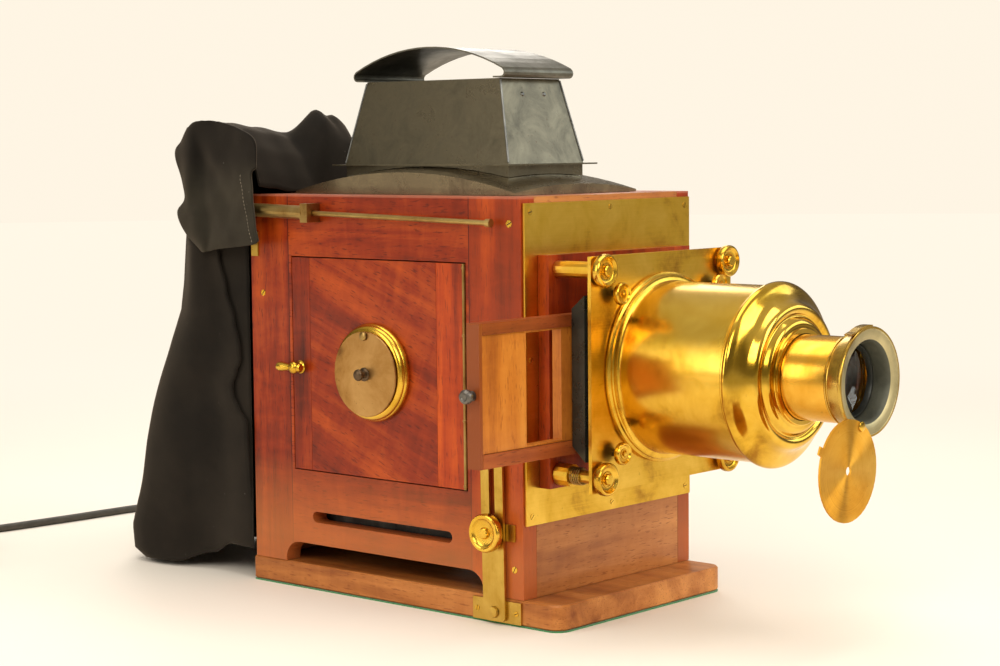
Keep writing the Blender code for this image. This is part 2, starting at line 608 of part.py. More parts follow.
def make_carrier(look):
    """Slide carrier: an outer frame open at its left end, and the shuttle that slides in it."""
    y0, y1 = CARRIER_Y
    z0, z1 = CARRIER_Z
    x0, x1 = CARRIER_X
    frame = box("carrier_frame", (x0, y0, z0), (x1, y1, z1), look["dark_wood"])
    cut(frame, box("carrier_channel", (x0 - 0.01, y0 - 0.01, z0 + RAIL_LOW_H),
                   (x1 - 0.010, y1 + 0.01, z1 - RAIL_TOP_H), look["black"]))
    low, high = z0 + RAIL_LOW_H + GAP, z1 - RAIL_TOP_H - GAP
    corner, far = (x0 - 0.0008, y0 + 0.0018, low), (0.060, y1 - 0.0018, high)
    body = box("carrier_shuttle", corner, far, look["satinwood"])
    head = box("shuttle_head", (x0 - 0.0035, y0, z0), (x0 - GAP, y1, z1), look["satinwood"])
    corner, far = (-0.0413, y0 - 0.01, low + 0.007), (0.0413, y1 + 0.01, high - 0.007)
    window = box("slide_window", corner, far, look["black"])
    corner, far = (-0.1290, y0 - 0.01, low + 0.0012), (-0.0895, y1 + 0.01, high - 0.0012)
    gap = box("finger_window", corner, far, look["black"])
    pull = [(0, -0.001), (0.0017, -0.001), (0.0017, 0.0035), (0.0042, 0.0050), (0.0042, 0.0075), (0, 0.0085)]
    centre_z = (z0 + z1) / 2
    knob = lathe("shuttle_pull", pull, (-1, 0, 0), (x0 - 0.0035, (y0 + y1) / 2, centre_z), look["steel"], 14)
    join(body, head, knob)
    cut(body, window, gap)


def make_lens(look):
    axis, centre = (0, -1, 0), (0, 0, AXIS_Z)
    brass = look["brass"]
    wall = 0.0015
    back, front = -STAGE_FACE, 0.2845
    barrel = [(BARREL_R - wall, back), (0.0712, back), (0.0720, back + 0.0016), (0.0718, back + 0.0040),
              (0.0700, back + 0.0058), (0.0668, back + 0.0058), (0.0652, back + 0.0072),
              (BARREL_R, back + 0.010),
              (BARREL_R, front), (BARREL_R - wall, front)]
    lathe("lens_barrel", barrel, axis, centre, brass, 40, 50.0)
    rear = front + GAP
    outer = [(BARREL_R, rear), (0.0674, rear + 0.0008), (0.0681, 0.2872), (0.0675, 0.2900), (0.0635, 0.2928),
             (0.0560, 0.2976), (0.0520, 0.3036), (0.0478, 0.3052), (0.0436, 0.3034), (0.0398, 0.3076),
             (0.0352, 0.3082), (0.0344, 0.3108), (FOCUS_TUBE_R + 0.0004, 0.3108)]
    inner = [(FOCUS_TUBE_R + 0.0004, 0.3008), (0.0430, 0.3008), (0.0500, 0.3005), (0.0540, 0.2950),
             (0.0615, 0.2915), (BARREL_R - wall, 0.2890), (BARREL_R - wall, rear)]
    lathe("barrel_cap", outer + inner, axis, centre, brass, 40, 50.0)
    tube = [(0.0295, 0.2700), (FOCUS_TUBE_R, 0.2700), (FOCUS_TUBE_R, 0.3474), (0.0295, 0.3474)]
    lathe("objective_tube", tube, axis, centre, brass, 40)
    hood_back = 0.3474 + GAP
    face = -HOOD_FACE
    hood = [(0.0275, hood_back), (0.0322, hood_back), (0.0326, 0.3485), (0.0318, 0.3494), (0.0324, 0.3510),
            (0.0326, 0.3600), (0.0338, 0.3622), (0.0390, 0.3630), (0.0393, 0.3640), (0.0393, face),
            (0.0275, face)]
    ring = lathe("objective_hood", hood, axis, centre, brass, 32)
    lug_line = arc((0, AXIS_Z), 0.0388, 82, 126, 8) + arc((0, AXIS_Z), 0.0412, 126, 82, 8)
    lug = prism("hood_lug", lug_line, "xz", -face, -0.3545, brass)
    pivot = flap_point(FLAP_PIVOT_R)
    screw = [(0, 0.3640), (0.0018, 0.3640), (0.0018, 0.3681), (0.0036, 0.3681), (0.0030, 0.3696), (0, 0.3699)]
    stud = lathe("flap_screw", screw, axis, (pivot[0], 0, pivot[1]), brass, 12)
    join(ring, lug, stud)
    lens = [(0, 0.3350), (0.0150, 0.3362), (0.0290, 0.3400), (0.0290, 0.3430), (0.0150, 0.3456), (0, 0.3462)]
    lathe("objective_lens", lens, axis, centre, look["glass"], 32, 60.0)
    make_flap(look)


def flap_point(distance):
    """Point on the line from the optical axis through the flap's pivot."""
    return (-distance * math.sin(FLAP_ANGLE), AXIS_Z - distance * math.cos(FLAP_ANGLE))


def make_flap(look):
    """Disc on one screw at its edge: turned half round, it covers the hood."""
    centre = flap_point(2 * FLAP_PIVOT_R)
    pivot = flap_point(FLAP_PIVOT_R)
    back = -HOOD_FACE + GAP
    disc = [(0.0032, back), (FLAP_R, back), (FLAP_R, back + 0.0015), (0.0032, back + 0.0015)]
    flap = lathe("lens_flap", disc, (0, -1, 0), (centre[0], 0, centre[1]), look["brass"], 40)
    lug = box("flap_lug", (-0.0406, -back - 0.0015, -0.003), (-0.0345, -back, 0.003), look["brass"])
    lug.location = (centre[0], 0, centre[1])
    lug.rotation_euler = (0, math.radians(27), 0)
    eye = rod("flap_eye", 0.0021, (0, -1, 0), (pivot[0], -0.360, pivot[1]), 0.012, look["brass"], 12)
    join(flap, lug)
    cut(flap, eye)


# ---------------------------------------------------------------- light
def make_light(look):
    axis, centre = (0, -1, 0), (0, 0, AXIS_Z)
    cell = [(0.0520, 0.0850), (0.0536, 0.0850), (0.0536, 0.1174), (0.0620, 0.1174), (0.0620, 0.1188),
            (0.0536, 0.1188), (0.0536, 0.1290), (0.0520, 0.1290)]
    lathe("condenser_cell", cell, axis, centre, look["old_brass"], 32)
    lens = [(0, 0.0880), (0.0515, 0.0880), (0.0515, 0.0900), (0.0400, 0.0975), (0.0250, 0.1030), (0, 0.1052)]
    lathe("condenser_lens", lens, axis, centre, look["glass"], 32, 60.0)
    tray = box("lamp_tray", (-0.045, 0.0, 0.0416), (0.045, 0.1562, 0.0430), look["black"])
    pull = box("tray_pull", (-0.045, 0.1548, 0.0416), (0.045, 0.1562, 0.0560), look["black"])
    join(tray, pull)
    holder = [(0, 0.0433), (0.0220, 0.0433), (0.0220, 0.0470), (0.0090, 0.0500), (0.0070, 0.0540),
              (0.0070, 0.1120), (0.0160, 0.1160), (0.0165, 0.1500), (0, 0.1500)]
    lathe("lamp_holder", holder, (0, 0, 1), (0, 0.030, 0), look["old_brass"], 20)
    bulb = [(0, 0.1503), (0.0135, 0.1503), (0.0145, 0.1560), (0.0190, 0.1650), (0.0275, 0.1780),
            (0.0300, 0.1907), (0.0275, 0.2040), (0.0180, 0.2160), (0, 0.2207)]
    lathe("lamp_bulb", bulb, (0, 0, 1), (0, 0.030, 0), look["glass"], 24, 60.0)
    gland = [(0, CASE_REAR + GAP), (0.0085, CASE_REAR + GAP), (0.0085, 0.1650), (0.0068, 0.1660),
             (0.0048, GLAND_TIP_Y), (0, GLAND_TIP_Y)]
    lathe("cord_gland", gland, (0, 1, 0), (GLAND_X, 0, GLAND_Z), look["plug"], 16)


# ---------------------------------------------------------------- curtain and its rods
def make_curtain_gear(look):
    direction = Vector((0, 1, ROD_SLOPE)).normalized()
    for side, sign in SIDES:
        x = sign * ROD_X
        front_y = 0.0875
        tube_z = 0.3065
        length = 0.0742
        tube = rod("curtain_tube_" + side, 0.0055, direction, (x, front_y, tube_z), length, look["brass"], 16)
        mouth = (x, front_y - 0.0005, tube_z)
        collar = rod("tube_collar_" + side, 0.0075, direction, mouth, 0.0025, look["brass"], 16)
        x0, x1 = x_span(sign, 0.1033, 0.1175)
        low, high = (x0, 0.0800, tube_z - 0.0075), (x1, 0.0880, tube_z + 0.0075)
        block = box("tube_block_" + side, low, high, look["brass"])
        start = Vector((x, front_y, tube_z)) - direction * 0.030
        bore = rod("tube_bore_" + side, 0.0025, direction, start, 0.140, look["brass"], 12)
        join(tube, collar, block)
        cut(tube, bore)
        start = Vector((x, front_y, tube_z)) - direction * 0.1955
        bar = rod("curtain_rod_" + side, 0.0020, direction, start, 0.2660, look["old_brass"], 12)
        tip = start - direction * 0.001
        join(bar, rod("rod_end_" + side, 0.0032, direction, tip, 0.0045, look["brass"], 12))


def curtain_line():
    """Curtain seen along X: hangs behind the case and folds forward over the roof's edge."""
    back = [(0.3000, 0.0150), (0.2880, 0.0600), (0.2680, 0.1300), (0.2520, 0.2100), (0.2500, 0.2900),
            (0.2450, 0.3450), (0.2250, 0.3720), (0.1950, 0.3790), (0.1700, 0.3680), (0.1480, 0.3540),
            (0.1440, 0.3400)]
    front = [(0.1440, CASE_TOP + 0.002), (CURTAIN_Y, CASE_TOP + 0.002), (CURTAIN_Y, 0.0320)]
    return [(0.1715, 0.0150)] + back + front


def curtain_inside():
    """The space that the cloth encloses, open below and towards the case."""
    back = [(0.2930, 0.0050), (0.2805, 0.0600), (0.2605, 0.1300), (0.2445, 0.2100), (0.2425, 0.2850),
            (0.2300, 0.3000), (0.1600, 0.3000)]
    return [(0.1600, 0.0050)] + back


def make_curtain(look):
    half = CURTAIN_HALF_X
    cloth = prism("curtain", curtain_line(), "yz", -half, half, look["cloth"])
    hollow = prism("curtain_hollow", curtain_inside(), "yz", -half + 0.006, half - 0.006, look["cloth"])
    fold_line = [(0.1560, 0.3285), (0.1560, 0.3440), (0.1760, 0.3610), (0.1950, 0.3700), (0.2200, 0.3640),
                 (0.2360, 0.3400), (0.2380, 0.3200), (0.1900, 0.3120)]
    fold = prism("curtain_fold", fold_line, "yz", -half - 0.01, half + 0.01, look["cloth"])
    low, high = (0.0600, 0.2600, 0.0100), (0.0970, 0.3100, 0.0480)
    cord_gap = box("curtain_cord_gap", low, high, look["cloth"])
    cut(cloth, hollow, fold, cord_gap)


# ---------------------------------------------------------------- mains cord
def cord_route():
    """Hand-set points from the gland to the coil, lying on the table."""
    floor = CORD_R + 0.0001
    low = [(0.0860, 0.2900), (0.0900, 0.3150), (0.0970, 0.3500), (0.1050, 0.3900), (0.1090, 0.4300),
           (0.1030, 0.4650), (0.0850, 0.4920), (0.0580, 0.5060), (0.0200, 0.5100), (-0.0200, 0.5120),
           (-0.0600, 0.5150), (-0.1000, 0.5188), (-0.1350, 0.5245), (-0.1780, 0.5287)]
    drop = [(GLAND_X, CORD_START_Y, GLAND_Z), (0.0802, 0.2150, 0.0298), (0.0812, 0.2330, 0.0240),
            (0.0826, 0.2500, 0.0150), (0.0842, 0.2700, 0.0068)]
    return [Vector(p) for p in drop] + [Vector((x, y, floor)) for x, y in low]


def smooth_path(points, per_span):
    """Catmull-Rom curve through the points."""
    ends = [points[0] * 2 - points[1]] + points + [points[-1] * 2 - points[-2]]
    path = []
    for k in range(1, len(ends) - 2):
        a, b, c, d = ends[k - 1:k + 3]
        for step in range(per_span):
            t = step / per_span
            path.append(0.5 * (2 * b + (c - a) * t + (2 * a - 5 * b + 4 * c - d) * t ** 2
                               + (3 * b - a - 3 * c + d) * t ** 3))
    return path + [points[-1]]


def make_cord(look):
    path = smooth_path(cord_route(), 2)
    curve = bpy.data.curves.new("cord", "CURVE")
    curve.dimensions = "3D"
    curve.bevel_depth = CORD_R
    curve.bevel_resolution = 2
    curve.use_fill_caps = True
    spline = curve.splines.new("POLY")
    spline.points.add(len(path) - 1)
    for point, where in zip(spline.points, path):
        point.co = (*where, 1.0)
    cord = bpy.data.objects.new("cord", curve)
    bpy.context.scene.collection.objects.link(cord)
    curve.materials.append(look["rubber"])
    x, y = COIL_CENTRE
    ring = [(COIL_IN, 0.0), (COIL_OUT, 0.0), (COIL_OUT, COIL_H), (COIL_IN, COIL_H)]
    lathe("cord_coil", ring, (0, 0, 1), (x, y, 0.0), look["rubber"], 32)
    make_plug(look)


def make_plug(look):
    """Three-pin plug lying on its side next to the coil, fed from the coil's outer turn."""
    x0, x1 = -0.2705, -0.2305
    line = rounded((x0, 0.3940), (x1, 0.4360), (0.006, 0.006, 0.012, 0.012), 4)
    plug = prism("plug", line, "xy", 0.0, 0.0240, look["plug"])
    sleeve = rod("plug_sleeve", 0.0046, (0, 1, 0), (-0.2505, 0.4350, 0.0106), 0.0200, look["plug"], 12)
    pins = []
    for k, x, z in ((1, -0.2615, 0.0080), (2, -0.2395, 0.0080), (3, -0.2505, 0.0175)):
        low, high = (x - 0.003, 0.3760, z - 0.002), (x + 0.003, 0.3950, z + 0.002)
        pins.append(box("plug_pin_%d" % k, low, high, look["brass"]))
    join(plug, sleeve, *pins)


def main():
    clear_scene()
    look = make_looks()
    make_base(look)
    make_case(look)
    make_lining(look)
    make_door(look)
    make_dome(look)
    make_chimney(look)
    make_stage(look)
    make_carrier(look)
    make_lens(look)
    make_light(look)
    make_curtain_gear(look)
    make_curtain(look)
    make_cord(look)


main()
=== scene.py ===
"""Looks for the mahogany and brass slide lantern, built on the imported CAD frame."""
import math

import bmesh
import bpy
from mathutils import Matrix, Vector, noise


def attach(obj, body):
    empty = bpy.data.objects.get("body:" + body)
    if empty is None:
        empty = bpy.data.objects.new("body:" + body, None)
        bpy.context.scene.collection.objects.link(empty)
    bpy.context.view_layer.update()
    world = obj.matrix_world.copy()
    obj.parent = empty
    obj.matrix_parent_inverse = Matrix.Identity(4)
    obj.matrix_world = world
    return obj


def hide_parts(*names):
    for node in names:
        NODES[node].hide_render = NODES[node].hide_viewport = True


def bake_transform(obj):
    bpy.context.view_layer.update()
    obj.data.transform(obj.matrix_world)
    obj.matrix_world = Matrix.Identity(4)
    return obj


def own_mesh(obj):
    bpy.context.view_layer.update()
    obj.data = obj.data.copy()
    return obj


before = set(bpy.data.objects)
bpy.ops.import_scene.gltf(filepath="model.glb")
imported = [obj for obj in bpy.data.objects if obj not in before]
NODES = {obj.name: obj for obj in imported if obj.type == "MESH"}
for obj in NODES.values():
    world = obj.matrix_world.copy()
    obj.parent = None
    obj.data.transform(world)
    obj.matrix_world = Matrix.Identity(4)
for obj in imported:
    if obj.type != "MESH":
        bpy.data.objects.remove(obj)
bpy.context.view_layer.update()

AXIS_Z = 0.1907  # height of the lens's axis
STAGE_FACE = 0.1846  # front of the lens plate, counted along -Y
PILLAR = 0.0765  # half the distance between the lens plate's pillars
FORWARD = (0, -1, 0)
ON_AXIS = (0, 0, AXIS_Z)
SIDES = (("left", -1.0), ("right", 1.0))
CORNERS = (("top_left", -1, 1), ("top_right", 1, 1), ("low_left", -1, -1), ("low_right", 1, -1))


# ------------------------------------------------------------------ camera
CAMERA_AT = (-1.31691, -1.18102, 0.36080)
CAMERA_AZIMUTH, CAMERA_ELEVATION, CAMERA_ROLL = (math.radians(a) for a in (-48.583, 4.979, -0.5585))
LENS_MM, SENSOR_MM = 78.71, 36.0


def make_camera():
    """Camera at the photograph's place, turned about its own axis by the roll."""
    level = math.cos(CAMERA_ELEVATION)
    back = Vector((math.sin(CAMERA_AZIMUTH) * level, -math.cos(CAMERA_AZIMUTH) * level,
                   math.sin(CAMERA_ELEVATION)))
    flat = Vector((0, 0, 1)).cross(back).normalized()
    upright = back.cross(flat)
    x = flat * math.cos(CAMERA_ROLL) + upright * math.sin(CAMERA_ROLL)
    y = upright * math.cos(CAMERA_ROLL) - flat * math.sin(CAMERA_ROLL)
    data = bpy.data.cameras.new("camera")
    data.lens = LENS_MM
    data.sensor_width = SENSOR_MM
    data.clip_end = 60.0
    camera = bpy.data.objects.new("camera", data)
    bpy.context.scene.collection.objects.link(camera)
    turn = Matrix((x, y, back)).transposed().to_4x4()
    camera.matrix_world = Matrix.Translation(CAMERA_AT) @ turn
    bpy.context.scene.camera = camera


# ------------------------------------------------------------------ shader helpers
def fill_ramp(line, stops):
    """Colours or grey levels at given places of a colour ramp."""
    while len(line.elements) < len(stops):
        line.elements.new(0.5)
    for element, (at, colour) in zip(line.elements, stops):
        element.position = at
        element.color = (*colour, 1.0) if isinstance(colour, tuple) else (colour, colour, colour, 1.0)


class Shader:
    """Small wrapper that adds nodes to one material."""

    def __init__(self, name):
        self.mat = bpy.data.materials.new(name)
        self.mat.use_nodes = True
        self.tree = self.mat.node_tree
        self.main = self.tree.nodes["Principled BSDF"]
        self.coord = self.tree.nodes.new("ShaderNodeTexCoord").outputs["Object"]

    def put(self, socket, value):
        if isinstance(value, bpy.types.NodeSocket):
            self.tree.links.new(value, socket)
        elif isinstance(value, (tuple, list)) and len(value) == 3 and socket.type == "RGBA":
            socket.default_value = (*value, 1.0)
        else:
            socket.default_value = value

    def set(self, **values):
        for name, value in values.items():
            self.put(self.main.inputs[name.replace("_", " ")], value)
        return self

    def node(self, kind, props=None, **values):
        node = self.tree.nodes.new("ShaderNode" + kind)
        for key, value in (props or {}).items():
            setattr(node, key, value)
        for name, value in values.items():
            key = int(name[1:]) if name[0] == "i" and name[1:].isdigit() else name.replace("_", " ")
            self.put(node.inputs[key], value)
        return node

    def scaled(self, scale, location=(0, 0, 0), rotation=(0, 0, 0)):
        return self.node("Mapping", Vector=self.coord, Scale=scale, Location=location,
                         Rotation=rotation).outputs[0]

    def noise(self, vector, scale=1.0, detail=4.0, rough=0.55, distort=0.0):
        return self.node("TexNoise", Vector=vector, Scale=scale, Detail=detail, Roughness=rough,
                         Distortion=distort).outputs[0]

    def math(self, operation, a, b=0.0):
        return self.node("Math", {"operation": operation}, i0=a, i1=b).outputs[0]

    def times(self, a, b):
        return self.math("MULTIPLY", a, b)

    def plus(self, a, b):
        return self.math("ADD", a, b)

    def distance(self, a, b):
        """Length of the hypotenuse over two lengths."""
        return self.math("SQRT", self.plus(self.times(a, a), self.times(b, b)))

    def remap(self, value, low, high, to_low=0.0, to_high=1.0, kind="LINEAR"):
        """Bring the span low..high onto to_low..to_high, clamped at both ends."""
        return self.node("MapRange", {"interpolation_type": kind}, Value=value, From_Min=low, From_Max=high,
                         To_Min=to_low, To_Max=to_high).outputs[0]

    def ramp(self, value, stops):
        node = self.node("ValToRGB", Fac=value)
        fill_ramp(node.color_ramp, stops)
        return node.outputs[0]

    def mix(self, factor, a, b, blend="MIX"):
        node = self.tree.nodes.new("ShaderNodeMix")
        node.data_type = "RGBA"
        node.blend_type = blend
        self.put(node.inputs["Factor"], factor)
        self.put(node.inputs["A"], a)
        self.put(node.inputs["B"], b)
        return node.outputs["Result"]

    def bump(self, height, strength, distance):
        node = self.node("Bump", Strength=strength, Distance=distance, Height=height)
        self.put(self.main.inputs["Normal"], node.outputs[0])
        return self

    def axis(self, index):
        return self.node("SeparateXYZ", Vector=self.coord).outputs[index]

    def inside(self, value, low, high, soft=0.0004):
        rise = self.remap(value, low - soft, low + soft)
        fall = self.remap(value, high - soft, high + soft, 1.0, 0.0)
        return self.times(rise, fall)


def wood_figure(s, along, seed=0.0, figure=1.0):
    """Streaks, pores and ribbon figure with the grain running along one axis (0, 1 or 2)."""
    def stretch(slow, fast):
        return tuple(slow if k == along else fast for k in range(3))
    shift = (seed, seed * 0.7, seed * 1.3)
    warp = s.noise(s.scaled((3, 3, 3), shift), 3.0, 2.0)
    line = s.noise(s.scaled(stretch(5.0, 60.0), shift), 1.0, 6.0, 0.6, 0.5)
    broad = s.noise(s.scaled(stretch(2.2, 13.0), shift), 1.0, 3.0, 0.5, 0.9)
    pores = s.noise(s.scaled(stretch(110.0, 780.0), shift), 1.0, 2.0, 0.5)
    ribbon = s.noise(s.scaled(stretch(70.0, 24.0), shift), 1.0, 3.0, 0.6, 0.6)
    grain = s.plus(s.times(line, 0.50), s.times(broad, 0.40))
    grain = s.plus(grain, s.times(warp, 0.10))
    grain = s.plus(grain, s.times(s.math("SUBTRACT", ribbon, 0.5), 0.22 * figure))
    pore = s.ramp(pores, [(0.31, 0.0), (0.41, 1.0)])
    return grain, pore


def wood(name, grain_of, dark, mid, light, gloss=0.30, coat=0.10, chamfer=None):
    s = Shader(name)
    grain, pore = grain_of(s)
    colour = s.ramp(grain, [(0.34, dark), (0.49, mid), (0.64, light)])
    colour = s.mix(s.times(s.math("SUBTRACT", 1.0, pore), 0.62), colour, dark)
    wear = s.noise(s.coord, 22.0, 5.0, 0.6)
    if chamfer:
        colour = chamfer(s, colour)
    rough = s.remap(wear, 0.35, 0.7, gloss, gloss + 0.16)
    s.set(Base_Color=colour, Roughness=rough, Coat_Weight=coat, Coat_Roughness=0.16, Specular_IOR_Level=0.22)
    s.bump(s.plus(pore, s.times(grain, 0.6)), 0.22, 0.0003)
    return s.mat


RED = ((0.062, 0.0055, 0.0010), (0.250, 0.0235, 0.0022), (0.470, 0.0720, 0.0060))
# Paler orange mahogany for the front boards and base; its lightness is partly real colour and partly painted
# sheen of the front faces.
WARM_AND_SHEEN = ((0.210, 0.050, 0.0080), (0.460, 0.160, 0.0350), (0.650, 0.270, 0.0700))
EDGE = ((0.130, 0.022, 0.0040), (0.300, 0.064, 0.0110), (0.470, 0.125, 0.0240))
DEEP = ((0.060, 0.009, 0.0030), (0.14, 0.024, 0.007), (0.24, 0.050, 0.013))
ORANGE = ((0.300, 0.075, 0.0090), (0.520, 0.165, 0.0190), (0.660, 0.250, 0.0360))


def framed_grain(s):
    """Side wall: posts with upright grain, rails with grain lying along Y, dark joints between."""
    up, pore_up = wood_figure(s, 2, 1.7, 0.8)
    lie, pore_lie = wood_figure(s, 1, 5.1, 0.8)
    y = s.axis(1)
    rail = s.inside(y, -0.0795, 0.1175)
    grain = s.plus(s.times(lie, rail), s.times(up, s.math("SUBTRACT", 1.0, rail)))
    joint = s.plus(s.inside(y, -0.0799, -0.0793, 0.0002), s.inside(y, 0.1173, 0.1179, 0.0002))
    grain = s.math("SUBTRACT", grain, s.times(joint, 0.5))
    pore = s.plus(s.times(pore_lie, rail),
                  s.times(pore_up, s.math("SUBTRACT", 1.0, rail)))
    return grain, pore


def crossed_grain(s):
    """Door panel: grain lying a little off level, crossed by ribbon flecks."""
    s.coord = s.node("Mapping", Vector=s.coord, Rotation=(math.radians(-21), 0, 0)).outputs[0]
    return wood_figure(s, 1, 9.2, 0.9)


def chamfer_line(s, colour):
    """Paler, worn line along the top edges; lighter low rail; front post lightened with painted light."""
    low = s.remap(s.axis(2), 0.045, 0.110, 0.55, 0.0)
    colour = s.mix(low, colour, (0.56, 0.185, 0.046))
    # painted light: the front post is mixed paler, as if it stood in stronger light than the rest of the side
    post = s.remap(s.axis(1), -0.0830, -0.0790, 0.16, 0.0)
    colour = s.mix(post, colour, (0.72, 0.105, 0.008))
    top = s.inside(s.axis(2), 0.3192, 0.3215, 0.0003)
    return s.mix(s.times(top, 0.35), colour, (0.62, 0.26, 0.17))


def end_board(s, colour):
    """Redder, darker wood on the shuttle's end board."""
    return s.mix(s.inside(s.axis(0), -0.2000, -0.1784, 0.0003), colour, (0.250, 0.056, 0.0095))


def brass(name, bright, mid, tarnish, gloss=0.20, turned=None, centre=(0.0, 0.0), flat_axis=None, stain=0.5,
          streak=0.12, spin=0.0):
    """Lacquered brass. turned is the axis of lathe marks; flat_axis the direction of rolled or brushed lines.
    spin gives the fanned shine of a faced disc."""
    s = Shader(name)
    patch = s.noise(s.coord, 26.0, 7.0, 0.62, 0.4)
    spots = s.noise(s.coord, 210.0, 3.0, 0.7)
    if turned is not None:
        across = [k for k in range(3) if k != turned]
        move = [0.0, 0.0, 0.0]
        move[across[0]], move[across[1]] = -centre[0], -centre[1]
        local = s.node("VectorMath", {"operation": "ADD"}, i0=s.coord, i1=tuple(move)).outputs[0]
        parts = s.node("SeparateXYZ", Vector=local).outputs
        radius = s.distance(parts[across[0]], parts[across[1]])
        line = s.node("CombineXYZ", i0=s.times(parts[turned], 900.0),
                      i1=s.times(radius, 900.0), i2=0.0).outputs[0]
        lines = s.noise(line, 1.0, 3.0, 0.7)
    else:
        scale = tuple(14.0 if k == (flat_axis or 0) else 1300.0 for k in range(3))
        lines = s.noise(s.scaled(scale), 1.0, 3.0, 0.6)
    tone = s.plus(s.times(patch, 1.0 - streak), s.times(lines, streak))
    colour = s.ramp(tone, [(0.29, tarnish), (0.44, mid), (0.64, bright)])
    fleck = s.ramp(spots, [(0.66, 0.0), (0.74, 1.0)])
    colour = s.mix(s.times(fleck, stain * 0.6), colour, tuple(0.45 * c for c in tarnish))
    rough = s.remap(tone, 0.3, 0.7, gloss + 0.08, gloss)
    s.set(Base_Color=colour, Metallic=1.0, Roughness=rough, Coat_Weight=0.06, Coat_Roughness=0.08)
    if spin:
        round_axis = s.node("Tangent", {"direction_type": "RADIAL", "axis": "Y"}).outputs[0]
        s.set(Anisotropic=spin, Tangent=round_axis)
    s.bump(lines, 0.035, 0.00010)
    return s.mat


GOLD = ((0.830, 0.520, 0.075), (0.690, 0.400, 0.035), (0.360, 0.160, 0.012))
ORANGE_GOLD = ((0.830, 0.470, 0.066), (0.700, 0.340, 0.028), (0.400, 0.140, 0.010))
OLIVE_GOLD = ((0.660, 0.440, 0.095), (0.520, 0.320, 0.050), (0.250, 0.130, 0.018))
DULL = ((0.480, 0.330, 0.110), (0.340, 0.205, 0.060), (0.150, 0.075, 0.018))
WORN = ((0.540, 0.310, 0.105), (0.400, 0.205, 0.055), (0.150, 0.066, 0.016))


def iron(name, light, dark, gloss=0.30, speck=0.5, coat=0.3):
    s = Shader(name)
    cloud = s.noise(s.coord, 34.0, 8.0, 0.66, 0.5)
    fine = s.noise(s.coord, 420.0, 3.0, 0.6)
    colour = s.ramp(cloud, [(0.34, dark), (0.66, light)])
    rust = s.times(s.ramp(fine, [(0.62, 0.0), (0.72, 1.0)]), speck)
    colour = s.mix(rust, colour, (0.085, 0.040, 0.018))
    rough = s.remap(cloud, 0.3, 0.7, gloss + 0.2, gloss)
    s.set(Base_Color=colour, Metallic=0.9, Roughness=rough, Coat_Weight=coat, Coat_Roughness=0.16)
    s.bump(s.plus(cloud, s.times(fine, 0.3)), 0.12, 0.0006)
    return s.mat


def paint(name, colour, gloss=0.5, metallic=0.0):
    s = Shader(name)
    cloud = s.noise(s.coord, 45.0, 6.0, 0.6)
    shade = s.ramp(cloud, [(0.3, tuple(0.6 * c for c in colour)), (0.7, tuple(1.35 * c for c in colour))])
    rough = s.remap(cloud, 0.3, 0.7, gloss - 0.08, gloss + 0.12)
    s.set(Base_Color=shade, Roughness=rough, Metallic=metallic)
    s.bump(s.noise(s.coord, 700.0, 2.0), 0.1, 0.0002)
    return s.mat


def black_cloth(name, shades=((0.0050, 0.0042, 0.0032), (0.0150, 0.0115, 0.0080)), fade=None):
    """Close-woven black cotton with a brownish bloom and pale lint."""
    s = Shader(name)
    bloom = s.noise(s.coord, 14.0, 5.0, 0.6)
    warp = s.node("TexWave", {"wave_type": "BANDS", "bands_direction": "Z"}, Vector=s.coord, Scale=420.0,
                  Distortion=0.6, Detail=1.0).outputs[1]
    weft = s.node("TexWave", {"wave_type": "BANDS", "bands_direction": "DIAGONAL"}, Vector=s.coord,
                  Scale=420.0, Distortion=0.6, Detail=1.0).outputs[1]
    weave = s.times(s.plus(warp, weft), 0.5)
    colour = s.ramp(bloom, [(0.34, shades[0]), (0.70, shades[1])])
    cell = s.node("TexVoronoi", {"feature": "F1"}, Vector=s.coord, Scale=130.0).outputs[0]
    lint = s.times(s.ramp(cell, [(0.045, 1.0), (0.075, 0.0)]),
                   s.ramp(s.noise(s.coord, 33.0, 2.0), [(0.56, 0.0), (0.62, 1.0)]))
    if fade:
        high = s.remap(s.axis(2), fade[0], fade[1])
        colour = s.mix(high, colour, (0.0075, 0.0060, 0.0045))
    colour = s.mix(s.times(lint, 0.5), colour, (0.22, 0.19, 0.16))
    s.set(Base_Color=colour, Roughness=0.88, Sheen_Weight=0.26, Sheen_Roughness=0.50,
          Sheen_Tint=(0.55, 0.44, 0.33), Specular_IOR_Level=0.12)
    s.bump(weave, 0.25, 0.0003)
    return s.mat


def felt(name):
    s = Shader(name)
    fuzz = s.noise(s.coord, 900.0, 4.0, 0.7)
    colour = s.ramp(fuzz, [(0.3, (0.015, 0.130, 0.030)), (0.7, (0.050, 0.320, 0.085))])
    s.set(Base_Color=colour, Roughness=0.95, Sheen_Weight=0.4)
    s.bump(fuzz, 0.4, 0.0004)
    return s.mat


def glass(name, tint, rough=0.02, clear=1.0):
    s = Shader(name)
    smear = s.noise(s.coord, 60.0, 4.0)
    blur = s.remap(smear, 0.4, 0.8, rough, rough + 0.05)
    s.set(Base_Color=tint, Roughness=blur, Transmission_Weight=clear, IOR=1.5)
    return s.mat


def rubber(name, colour, gloss=0.5):
    s = Shader(name)
    dust = s.noise(s.coord, 120.0, 5.0, 0.65)
    shade = s.ramp(dust, [(0.3, tuple(0.75 * c for c in colour)), (0.75, tuple(1.5 * c for c in colour))])
    s.set(Base_Color=shade, Roughness=gloss)
    s.bump(s.noise(s.coord, 1500.0, 2.0), 0.1, 0.0001)
    return s.mat


